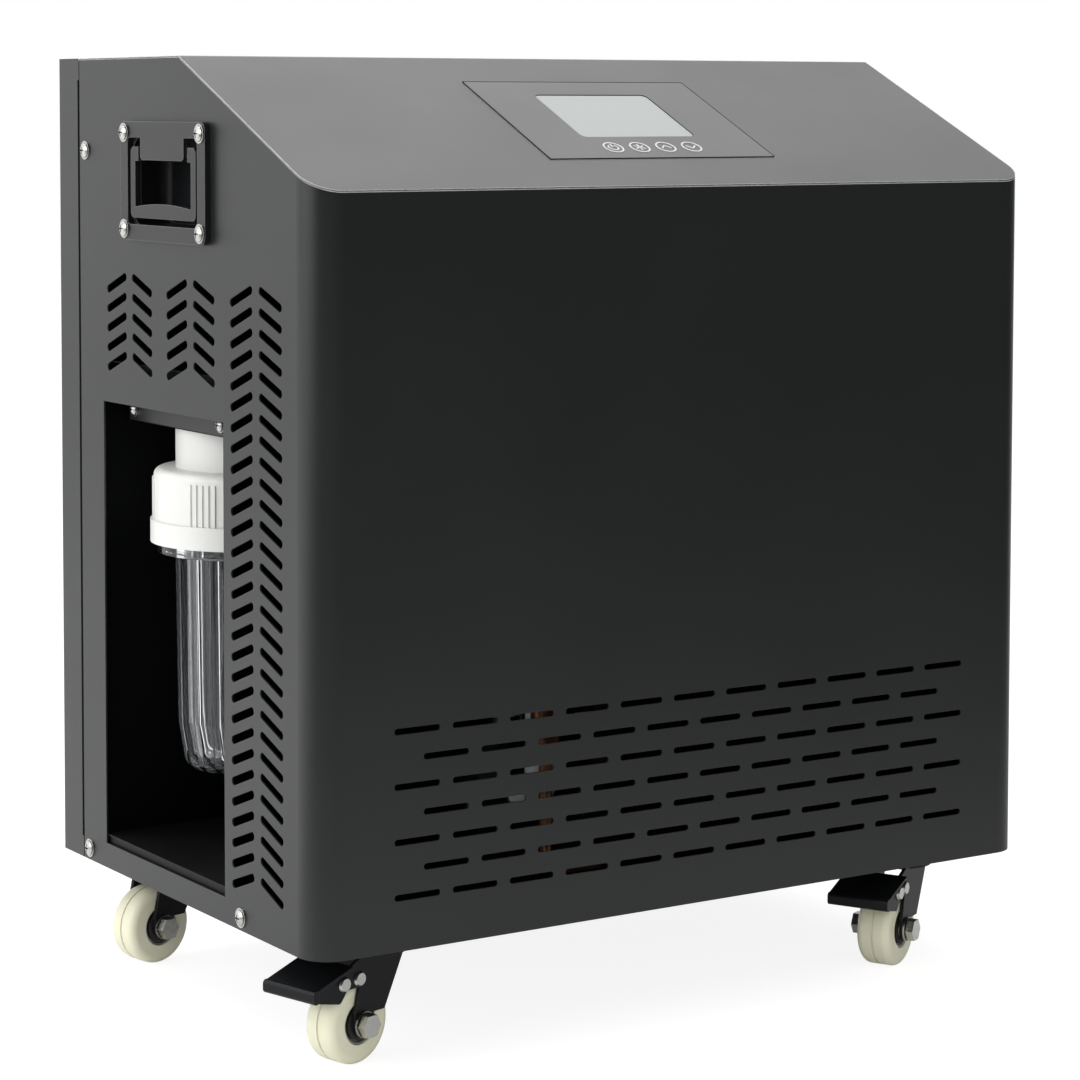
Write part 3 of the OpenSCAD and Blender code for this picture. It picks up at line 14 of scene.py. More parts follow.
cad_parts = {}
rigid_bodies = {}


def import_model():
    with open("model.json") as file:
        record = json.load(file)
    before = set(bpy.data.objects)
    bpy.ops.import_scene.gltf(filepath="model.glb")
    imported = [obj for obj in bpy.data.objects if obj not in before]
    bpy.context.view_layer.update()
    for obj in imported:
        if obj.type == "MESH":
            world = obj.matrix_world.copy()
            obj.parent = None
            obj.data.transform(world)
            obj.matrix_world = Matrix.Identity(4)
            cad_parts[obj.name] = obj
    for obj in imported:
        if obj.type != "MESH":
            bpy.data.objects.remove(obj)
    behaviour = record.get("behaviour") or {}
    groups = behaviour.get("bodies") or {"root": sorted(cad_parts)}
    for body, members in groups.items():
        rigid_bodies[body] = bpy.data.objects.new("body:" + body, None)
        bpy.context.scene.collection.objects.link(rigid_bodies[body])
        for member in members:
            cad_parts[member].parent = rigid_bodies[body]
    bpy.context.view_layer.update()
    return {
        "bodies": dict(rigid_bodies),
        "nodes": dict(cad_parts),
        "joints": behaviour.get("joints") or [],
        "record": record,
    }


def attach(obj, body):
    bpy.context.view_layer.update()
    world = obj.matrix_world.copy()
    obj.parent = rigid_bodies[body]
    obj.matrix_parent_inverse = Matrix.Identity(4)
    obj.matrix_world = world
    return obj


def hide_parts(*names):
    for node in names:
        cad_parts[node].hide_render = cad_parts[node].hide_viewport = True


logging.basicConfig(level=logging.INFO, format="%(message)s")
log = logging.getLogger("chiller")

MM = 0.001
Colour = tuple[float, float, float]
RAYS = ("Camera", "Glossy", "Transmission")
WHITE = (1.0, 1.0, 1.0, 1.0)


class Sheen(Enum):
    """How glossy a painted or moulded surface is, as its base roughness."""

    GLOSS = 0.18
    SATIN = 0.38
    EGGSHELL = 0.5
    MATT = 0.68


class Socket:
    """A shader output with arithmetic, so that maths reads as an expression."""

    def __init__(self, tree: "ShaderTree", out: bpy.types.NodeSocket) -> None:
        """Wraps one output.

        Args:
            tree: The tree that new Math nodes go into.
            out: The output socket.
        """
        self.tree = tree
        self.out = out

    def _math(self, operation: str, a: Any, b: Any) -> "Socket":
        """Adds one Math node.

        Args:
            operation: The node's operation.
            a: First value or socket.
            b: Second value or socket.

        Returns:
            The node's result.
        """
        return self.tree.node("ShaderNodeMath", {"operation": operation}, {0: a, 1: b})

    def __add__(self, other: Any) -> "Socket":
        """Sum."""
        return self._math("ADD", self, other)

    def __radd__(self, other: Any) -> "Socket":
        """Sum with a number on the left."""
        return self._math("ADD", other, self)

    def __sub__(self, other: Any) -> "Socket":
        """Difference."""
        return self._math("SUBTRACT", self, other)

    def __rsub__(self, other: Any) -> "Socket":
        """Difference with a number on the left."""
        return self._math("SUBTRACT", other, self)

    def __mul__(self, other: Any) -> "Socket":
        """Product."""
        return self._math("MULTIPLY", self, other)

    def __truediv__(self, other: Any) -> "Socket":
        """Quotient."""
        return self._math("DIVIDE", self, other)


class ShaderTree:
    """A material's or world's nodes, built by one method."""

    def __init__(self, owner: bpy.types.ID) -> None:
        """Clears the owner's nodes.

        Args:
            owner: A material or a world.
        """
        owner.use_nodes = True
        self.nodes = owner.node_tree.nodes
        self.links = owner.node_tree.links
        self.nodes.clear()

    def node(
        self,
        kind: str,
        settings: Optional[dict[str, Any]] = None,
        inputs: Optional[dict[Any, Any]] = None,
        output: Any = 0,
    ) -> Socket:
        """Adds a node of any type.

        Args:
            kind: The node's Blender type name.
            settings: Attributes that are set first.
            inputs: Values or sockets by input name or number.
            output: Which output to return.

        Returns:
            The chosen output, or the first.
        """
        made = self.nodes.new(kind)
        for name, value in (settings or {}).items():
            setattr(made, name, value)
        for key, value in (inputs or {}).items():
            target = made.inputs[key]
            if isinstance(value, Socket):
                self.links.new(value.out, target)
            else:
                target.default_value = value
        outs = made.outputs
        return Socket(self, outs[output] if len(outs) else None)

    def place(self) -> Socket:
        """Position on the object, in metres."""
        return self.node("ShaderNodeTexCoord", output="Object")

    def noise(self, scale: float, detail: float = 3.0, stretch: Colour = (1, 1, 1)) -> Socket:
        """Noise over the object's position.

        Args:
            scale: Features per metre.
            detail: Octaves.
            stretch: How much the position is scaled along each axis.

        Returns:
            A value around one half.
        """
        where = self.place()
        if stretch != (1, 1, 1):
            where = self.node("ShaderNodeMapping", None, {"Vector": where, "Scale": stretch})
        return self.node("ShaderNodeTexNoise", None, {"Vector": where, "Scale": scale, "Detail": detail})

    def axis(self, name: str) -> Socket:
        """One coordinate of the position, in metres."""
        return self.node("ShaderNodeSeparateXYZ", None, {0: self.place()}, output=name)

    def blend(self, factor: Any, first: Any, second: Any) -> Socket:
        """A colour between two.

        Args:
            factor: Zero for the first colour, one for the second.
            first: A colour or socket.
            second: A colour or socket.

        Returns:
            The mixed colour.
        """
        ends = [c if isinstance(c, Socket) else (*c, 1) for c in (first, second)]
        return self.node(
            "ShaderNodeMix", {"data_type": "RGBA"}, {"Factor": factor, 6: ends[0], 7: ends[1]}, output=2
        )

    def limit(self, value: Socket, low: float = 0.0, high: float = 1.0) -> Socket:
        """Keeps a value between two limits.

        Args:
            value: The value.
            low: Its least.
            high: Its greatest.

        Returns:
            The limited value.
        """
        return self.node(
            "ShaderNodeClamp", {"clamp_type": "MINMAX"}, {"Value": value, "Min": low, "Max": high}
        )

    def dot(self, first: Any, second: Any) -> Socket:
        """Dot product of two directions."""
        return self.node(
            "ShaderNodeVectorMath", {"operation": "DOT_PRODUCT"}, {0: first, 1: second}, output="Value"
        )


@dataclass(frozen=True)
class Finish:
    """What all finishes share: a name, a colour and how its edges are eased."""

    BEVEL_SAMPLES: ClassVar[int] = 4
    RIM_START: ClassVar[float] = 0.99
    RIM_GAIN: ClassVar[float] = 8.0

    name: str
    colour: Colour
    edge: float = 0.35 * MM

    def material(self) -> bpy.types.Material:
        """Builds the material.

        Returns:
            A new material with its nodes.
        """
        made = bpy.data.materials.new(self.name)
        tree = ShaderTree(made)
        surface = tree.node("ShaderNodeBsdfPrincipled", None, self.inputs(tree))
        tree.node("ShaderNodeOutputMaterial", None, {"Surface": surface})
        made.diffuse_color = (*self.colour, 1)
        return made

    def inputs(self, tree: ShaderTree) -> dict[str, Any]:
        """The surface's inputs, which each finish fills."""
        return {"Base Color": (*self.colour, 1)}

    def eased(self, tree: ShaderTree) -> Socket:
        """The normal with its edges rounded off."""
        return tree.node("ShaderNodeBevel", {"samples": self.BEVEL_SAMPLES}, {"Radius": self.edge})

    def relief(self, tree: ShaderTree, height: Socket, depth: float, base: Optional[Socket] = None) -> Socket:
        """A normal with eased edges and a fine relief.

        Args:
            tree: The material's tree.
            height: The relief, about zero to one.
            depth: Its depth in metres.
            base: A rounded normal that is at hand already.

        Returns:
            A normal.
        """
        bump: dict[str, Any] = {"Height": height, "Distance": depth, "Strength": 1.0}
        if self.edge > 0:
            bump["Normal"] = base or self.eased(tree)
        return tree.node("ShaderNodeBump", None, bump)

    def rim(self, tree: ShaderTree, normal: Socket) -> Socket:
        """How far a point lies on a rounded edge, zero to one.

        Args:
            tree: The material's tree.
            normal: The rounded normal.

        Returns:
            The share.
        """
        flat = tree.node("ShaderNodeNewGeometry", output="True Normal")
        return tree.limit((self.RIM_START - tree.dot(normal, flat)) * self.RIM_GAIN)

    def shifted(self, amount: float) -> Colour:
        """The colour made lighter or darker by a share of itself."""
        return tuple(min(1.0, c * (1 + amount)) for c in self.colour)


@dataclass(frozen=True)
class PowderCoat(Finish):
    """Baked powder paint: orange peel, faint cloudiness, fine dust, smoother edges and a painted highlight
    along rounded edges.
    """

    PEEL_SCALE: ClassVar[float] = 1300.0
    CLOUD_SCALE: ClassVar[float] = 9.0
    SPECK_SCALE: ClassVar[float] = 2600.0
    WORN_EDGE: ClassVar[float] = 0.16

    sheen: Sheen = Sheen.SATIN
    peel: float = 0.02 * MM
    specular: float = 0.5
    # Grey of the painted highlight on rounded edges, zero for none
    edge_highlight: float = 0.0

    def inputs(self, tree: ShaderTree) -> dict[str, Any]:
        """Fine peel for the normal, slow clouds for colour and roughness, and a painted highlight on rounded
        edges.
        """
        peel = tree.noise(self.PEEL_SCALE, 2.0)
        cloud = tree.noise(self.CLOUD_SCALE, 4.0)
        speck = tree.noise(self.SPECK_SCALE, 1.0)
        rough = self.sheen.value + (cloud - 0.5) * 0.1 + (speck - 0.5) * 0.06
        paint: Any = tree.blend(cloud, self.shifted(-0.14), self.shifted(0.16))
        normal = self.eased(tree)
        # Painted highlight: rounded edges are lightened towards this grey, standing in for the glint of a
        # lamp
        if self.edge_highlight > 0:
            rim = self.rim(tree, normal)
            paint = tree.blend(rim, paint, (self.edge_highlight,) * 3)
            rough = rough - rim * self.WORN_EDGE
        return {
            "Base Color": paint,
            "Roughness": rough,
            "Specular IOR Level": self.specular,
            "Normal": self.relief(tree, peel + cloud * 0.6, self.peel, normal),
        }


@dataclass(frozen=True)
class BareMetal(Finish):
    """Plated, brushed or drawn metal, with a fine grain and painted shade in its recesses."""

    PATCH_SCALE: ClassVar[float] = 60.0
    GRAIN_DEPTH: ClassVar[float] = 0.012 * MM
    SHADE_START: ClassVar[float] = 0.94
    SHADE_GAIN: ClassVar[float] = 2.6
    SHADE_COLOUR: ClassVar[Colour] = (0.012, 0.012, 0.012)

    roughness: float = 0.3
    scale: float = 500.0
    tarnish: float = 0.12
    recess_shade: float = 0.0

    def inputs(self, tree: ShaderTree) -> dict[str, Any]:
        """Grain in roughness and relief, tarnish and painted shade in recesses in the colour."""
        grain = tree.noise(self.scale, 3.0)
        patches = tree.noise(self.PATCH_SCALE, 4.0)
        metal = tree.blend(patches, self.shifted(-self.tarnish), self.shifted(self.tarnish / 2))
        # Painted shade: where ambient occlusion finds the surface closed in, as in screw recesses, the colour
        # goes near black
        if self.recess_shade > 0:
            near = {"samples": 4, "only_local": True}
            open_sky = tree.node("ShaderNodeAmbientOcclusion", near, {"Distance": self.recess_shade}, output="AO")
            in_shade = tree.limit((self.SHADE_START - open_sky) * self.SHADE_GAIN)
            metal = tree.blend(in_shade, metal, self.SHADE_COLOUR)
        return {
            "Base Color": metal,
            "Metallic": 1.0,
            "Roughness": self.roughness + (grain - 0.5) * 0.22,
            "Normal": self.relief(tree, grain, self.GRAIN_DEPTH),
        }


@dataclass(frozen=True)
class MouldedPlastic(Finish):
    """Moulded plastic with a fine spark texture and a slight unevenness."""

    FLOW_SCALE: ClassVar[float] = 30.0
    BLEED_REACH: ClassVar[Colour] = (4 * MM, 3.5 * MM, 3 * MM)

    sheen: Sheen = Sheen.SATIN
    texture: float = 900.0
    depth: float = 0.015 * MM
    bleed: float = 0.0

    def inputs(self, tree: ShaderTree) -> dict[str, Any]:
        """Spark texture in the relief, flow marks in colour and roughness."""
        spark = tree.noise(self.texture, 2.0)
        flow = tree.noise(self.FLOW_SCALE, 3.0)
        made = {
            "Base Color": tree.blend(flow, self.shifted(-0.05), self.shifted(0.04)),
            "Roughness": self.sheen.value + (flow - 0.5) * 0.12,
            "Normal": self.relief(tree, spark + flow * 0.5, self.depth),
        }
        if self.bleed > 0:
            made["Subsurface Weight"] = self.bleed
            made["Subsurface Radius"] = self.BLEED_REACH
        return made


@dataclass(frozen=True)
class ClearPlastic(Finish):
    """Clear moulded plastic with faint flow lines along its height."""

    FLOW_SCALE: ClassVar[float] = 45.0
    FLOW_STRETCH: ClassVar[Colour] = (1, 1, 0.3)
    FLOW_DEPTH: ClassVar[float] = 0.07 * MM
    BENDING: ClassVar[float] = 1.49

    roughness: float = 0.04

    def inputs(self, tree: ShaderTree) -> dict[str, Any]:
        """Lets light through, with a soft relief."""
        flow = tree.noise(self.FLOW_SCALE, 2.0, self.FLOW_STRETCH)
        return {
            "Base Color": (*self.colour, 1),
            "Roughness": self.roughness + flow * 0.05,
            "IOR": self.BENDING,
            "Transmission Weight": 1.0,
            "Normal": self.relief(tree, flow, self.FLOW_DEPTH),
        }


@dataclass(frozen=True)
class FinPack(BareMetal):
    """Aluminium fins, drawn finer than the solid ones by ridges along X."""

    RIDGE: ClassVar[float] = 0.5 * MM

    pitch: float = 1.6 * MM

    def inputs(self, tree: ShaderTree) -> dict[str, Any]:
        """Ridges in the relief and shade between the fins."""
        made = super().inputs(tree)
        x = tree.axis("X")
        ridge = tree.node("ShaderNodeMath", {"operation": "PINGPONG"}, {0: x, 1: self.pitch / 2})
        height = ridge / (self.pitch / 2)
        made["Base Color"] = tree.blend(height, self.shifted(-0.55), self.shifted(0.05))
        made["Normal"] = self.relief(tree, height, self.RIDGE)
        return made


@dataclass(frozen=True)
class Foam(Finish):
    """Closed-cell insulation foam."""

    CLOUD_SCALE: ClassVar[float] = 25.0
    CELL_DEPTH: ClassVar[float] = 0.4 * MM

    cells: float = 420.0

    def inputs(self, tree: ShaderTree) -> dict[str, Any]:
        """Cells in the relief, dull all over."""
        cells = tree.node(
            "ShaderNodeTexVoronoi", None, {"Vector": tree.place(), "Scale": self.cells}, output="Distance"
        )
        cloud = tree.noise(self.CLOUD_SCALE, 4.0)
        return {
            "Base Color": tree.blend(cloud, self.shifted(-0.2), self.shifted(0.5)),
            "Roughness": 0.9 + (cloud - 0.5) * 0.1,
            "Normal": self.relief(tree, cells, self.CELL_DEPTH),
        }


@dataclass(frozen=True)
class DisplayGlass(Finish):
    """A clear window over an unlit pale display."""

    CLOUD_SCALE: ClassVar[float] = 14.0
    WAVE_DEPTH: ClassVar[float] = 0.05 * MM

    def inputs(self, tree: ShaderTree) -> dict[str, Any]:
        """Faint film clouds under a glossy front."""
        cloud = tree.noise(self.CLOUD_SCALE, 2.0)
        return {
            "Base Color": tree.blend(cloud, self.shifted(-0.05), self.shifted(0.04)),
            "Roughness": 0.24 + (cloud - 0.5) * 0.06,
            "Specular IOR Level": 0.4,
            "Normal": self.relief(tree, cloud, self.WAVE_DEPTH),
        }


class Palette:
    """Every finish of the chiller, made once and shared."""

    FINISHES: dict[str, Finish] = {
        "case_black": PowderCoat("case_black", (0.0125, 0.0135, 0.0135)),
        # Cover, handles and casters carry a painted highlight on their rounded edges, strongest on the cover
        "cover_black": PowderCoat("cover_black", (0.0135, 0.0135, 0.013), 0.95 * MM, edge_highlight=0.95),
        "handle_black": PowderCoat(
            "handle_black", (0.006, 0.0065, 0.0075), 0.6 * MM, edge_highlight=0.2, peel=0.01 * MM
        ),
        "chassis_steel": PowderCoat(
            "chassis_steel", (0.004, 0.0042, 0.0048), sheen=Sheen.EGGSHELL, specular=0.2
        ),
        # Near black, much darker than the case: painted shade for the deep filter bay
        "bay_shade_black": PowderCoat("bay_shade_black", (0.0016, 0.0018, 0.0022), sheen=Sheen.MATT, specular=0.06),
        # Zinc screws carry painted shade in their cross recesses
        "zinc": BareMetal("zinc", (0.60, 0.595, 0.57), 0.2 * MM, roughness=0.30, recess_shade=1.6 * MM),
        "bracket_steel": PowderCoat("bracket_steel", (0.014, 0.0145, 0.016), specular=0.4),
        "panel_black": PowderCoat(
            "panel_black", (0.022, 0.022, 0.0215), 0.15 * MM, peel=0.006 * MM, specular=0.6
        ),
        # Matt black strip round the panel: painted shade for the gap round it
        "gap_shade_black": PowderCoat(
            "gap_shade_black", (0.0015, 0.0015, 0.0015), 0.0, sheen=Sheen.MATT, specular=0.04
        ),
        "display_grey": DisplayGlass("display_grey", (0.29, 0.315, 0.31), 0.3 * MM),
        "key_white": MouldedPlastic("key_white", (0.72, 0.73, 0.72), 0.0, sheen=Sheen.EGGSHELL),
        "filter_white": MouldedPlastic("filter_white", (0.71, 0.715, 0.69), 0.6 * MM, bleed=0.06),
        "bowl_clear": ClearPlastic("bowl_clear", (0.88, 0.90, 0.92), 0.5 * MM),
        "rubber_black": MouldedPlastic(
            "rubber_black", (0.012, 0.012, 0.012), sheen=Sheen.MATT, texture=500.0
        ),
        "machine_black": PowderCoat("machine_black", (0.006, 0.006, 0.0065), 0.8 * MM, sheen=Sheen.GLOSS),
        # Near black fins, and the copper tubes in the same black: painted shade for the inside seen through
        # the front slots
        "condenser_shade_black": FinPack("condenser_shade_black", (0.035, 0.035, 0.036), 0.0, roughness=0.6),
        "copper": BareMetal("copper", (0.42, 0.21, 0.12), 0.0, roughness=0.34, scale=200.0, tarnish=0.35),
        "fan_plastic": MouldedPlastic("fan_plastic", (0.014, 0.014, 0.015), sheen=Sheen.EGGSHELL),
        "foam_black": Foam("foam_black", (0.012, 0.012, 0.012), 0.8 * MM),
        "hose_white": MouldedPlastic("hose_white", (0.68, 0.70, 0.70), 0.0),
        "port_plastic": MouldedPlastic("port_plastic", (0.62, 0.63, 0.62), 0.15 * MM),
        "inlet_plastic": MouldedPlastic("inlet_plastic", (0.012, 0.012, 0.012), sheen=Sheen.EGGSHELL),
        "caster_black": PowderCoat(
            "caster_black",
            (0.004, 0.0045, 0.0055),
            0.6 * MM,
            peel=0.03 * MM,
            specular=0.24,
            edge_highlight=0.05,
        ),
        "nylon_ivory": MouldedPlastic("nylon_ivory", (0.80, 0.785, 0.60), 0.8 * MM, bleed=0.12),
        "hub_ring": BareMetal("hub_ring", (0.62, 0.62, 0.62), 0.1 * MM, roughness=0.42),
    }

    def __init__(self) -> None:
        """Starts with no material made."""
        self.made: dict[str, bpy.types.Material] = {}

    def get(self, name: str) -> bpy.types.Material:
        """The material of a finish, built when it's first asked for."""
        if name not in self.made:
            self.made[name] = self.FINISHES[name].material()
        return self.made[name]

    def dress(self, frame: dict[str, Any], node: str, name: str) -> None:
        """Puts a finish on a solid.

        Args:
            frame: The loaded frame.
            node: The solid's name.
            name: The finish.
        """
        mesh = frame["nodes"][node].data
        mesh.materials.clear()
        mesh.materials.append(self.get(name))
        log.info("dressed %s in %s", node, name)


class MeshPiece:
    """A mesh built from simple rings and bars, finished as one object."""

    SHARP_FROM: ClassVar[float] = math.radians(35)

    def __init__(self, name: str) -> None:
        """Starts an empty mesh.

        Args:
            name: The piece's name.
        """
        self.name = name
        self.mesh = bmesh.new()

    def lathe(self, profile: list[tuple[float, float]], place: Matrix, steps: int = 48) -> None:
        """Adds a closed turned ring.

        Args:
            profile: Radius and height of each point of a closed outline.
            place: From the ring's own frame, axis along Z, to the row frame.
            steps: Segments round the axis.
        """
        rings = []
        for i in range(steps):
            turn = Matrix.Rotation(2 * math.pi * i / steps, 4, "Z")
            rings.append([self.mesh.verts.new(place @ turn @ Vector((r, 0, z))) for r, z in profile])
        count = len(profile)
        for i in range(steps):
            a, b = rings[i], rings[(i + 1) % steps]
            for j in range(count):
                k = (j + 1) % count
                self.mesh.faces.new((a[j], b[j], b[k], a[k]))

    def bar(self, points: list[tuple[float, float]], height: float, place: Matrix) -> None:
        """Adds a flat shape with straight sides.

        Args:
            points: The outline, anticlockwise.
            height: Its thickness along Z.
            place: From the shape's own frame to the row frame.
        """
        low = [self.mesh.verts.new(place @ Vector((x, y, 0))) for x, y in points]
        high = [self.mesh.verts.new(place @ Vector((x, y, height))) for x, y in points]
        count = len(points)
        self.mesh.faces.new(high)
        self.mesh.faces.new(list(reversed(low)))
        for i in range(count):
            j = (i + 1) % count
            self.mesh.faces.new((low[i], low[j], high[j], high[i]))

    def finish(self, material: bpy.types.Material, smooth: bool = False) -> bpy.types.Object:
        """Turns the mesh into an object of the scene.

        Args:
            material: Its finish.
            smooth: Whether its faces are shaded smooth, apart from sharp edges.

        Returns:
            The new object.
        """
        bmesh.ops.recalc_face_normals(self.mesh, faces=self.mesh.faces)
        data = bpy.data.meshes.new(self.name)
        self.mesh.to_mesh(data)
        self.mesh.free()
        data.materials.append(material)
        made = bpy.data.objects.new(self.name, data)
        bpy.context.scene.collection.objects.link(made)
        if smooth:
            for face in data.polygons:
                face.use_smooth = True
            data.set_sharp_from_angle(angle=self.SHARP_FROM)
        log.info("made %s, %d faces", self.name, len(data.polygons))
        return made


@dataclass
class CaseSheets:
    """The sheet metal case, its tray and the pieces on its back."""

    finishes: dict[str, str] = field(
        default_factory=lambda: {
            "wrap_shell": "case_black",
            "top_cover": "cover_black",
            "back_panel": "case_black",
            "base_tray": "chassis_steel",
            "case_screws": "zinc",
            "power_inlet": "inlet_plastic",
            "switch_frame": "inlet_plastic",
            "power_switch": "inlet_plastic",
            "water_inlet_fitting": "port_plastic",
            "water_outlet_fitting": "port_plastic",
        }
    )

    def dress(self, frame: dict[str, Any], palette: Palette) -> None:
        """Puts the finishes on the solids."""
        for node, name in self.finishes.items():
            palette.dress(frame, node, name)


@dataclass
class WaterPorts:
    """The two hose ports on the back, with real threads on their spigots."""

    places: dict[str, tuple[Vector, float]] = field(
        default_factory=lambda: {
            "water_inlet_fitting": (Vector((-0.201, 0.157, 0.382)), 17.2 * MM),
            "water_outlet_fitting": (Vector((-0.070, 0.157, 0.134)), 25.0 * MM),
        }
    )
    crest: float = 13.2 * MM
    depth: float = 1.16 * MM
    pitch: float = 1.814 * MM
    reach: float = 29.4 * MM
    bore: float = 9.5 * MM
    flange: tuple[float, float] = (20 * MM, 3 * MM)
    stub: float = 11 * MM
    nut: tuple[float, float, float] = (18 * MM, -8.2 * MM, -1.2 * MM)
    nut_lap: float = 0.98
    steps: int = 72
    rows_per_turn: int = 6

    def outline(self, length: float) -> list[tuple[float, float, float]]:
        """Half a section from the inner end to the bore's floor.

        Args:
            length: How far the stub goes into the case.

        Returns:
            Radius, height and share of the thread's depth for each row.
        """
        wide, thick = self.flange
        rows = [(0.0, -length, 0.0), (self.stub, -length, 0.0), (self.stub, 0.0, 0.0), (wide, 0.0, 0.0)]
        rows += [(wide, thick, 0.0), (self.crest, thick, 0.0)]
        step = self.pitch / self.rows_per_turn
        first = thick + self.pitch
        count = int((self.reach - first) / step)
        for i in range(count + 1):
            share = min(1.0, i / self.rows_per_turn)
            rows.append((self.crest, first + i * step, share))
        rows += [(self.crest - self.depth, self.reach, 0.0), (self.bore, self.reach, 0.0)]
        rows += [(self.bore, thick, 0.0), (0.0, thick, 0.0)]
        return rows

    def spin(self, piece: MeshPiece, rows: list[tuple[float, float, float]], place: Matrix) -> None:
        """Turns the outline, with the thread as a helix.

        Args:
            piece: The mesh that it goes into.
            rows: The outline.
            place: From the port's own frame, axis along Z, to the row frame.
        """
        rings = []
        for r, z, cut in rows:
            if r == 0:
                rings.append([piece.mesh.verts.new(place @ Vector((0, 0, z)))] * self.steps)
                continue
            ring = []
            for i in range(self.steps):
                wave = (z / self.pitch - i / self.steps) % 1.0
                radius = r - cut * self.depth * abs(2 * wave - 1)
                turn = Matrix.Rotation(2 * math.pi * i / self.steps, 4, "Z")
                ring.append(piece.mesh.verts.new(place @ turn @ Vector((radius, 0, z))))
            rings.append(ring)
        for low, high in zip(rings, rings[1:]):
            for i in range(self.steps):
                j = (i + 1) % self.steps
                corners = dict.fromkeys((low[i], low[j], high[j], high[i]))
                piece.mesh.faces.new(list(corners))

    def build(self, palette: Palette) -> None:
        """Makes both ports in place of their plain solids.

        Args:
            palette: The finishes.
        """
        wide, low, high = self.nut
        inner = self.stub * self.nut_lap
        for node, (centre, length) in self.places.items():
            piece = MeshPiece(node.replace("fitting", "port"))
            place = Matrix.Translation(centre) @ Matrix.Rotation(math.radians(-90), 4, "X")
            self.spin(piece, self.outline(length), place)
            piece.lathe([(inner, low), (wide, low), (wide, high), (inner, high)], place, 6)
            made = piece.finish(palette.get("port_plastic"), smooth=True)
            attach(made, "root")
            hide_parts(node)


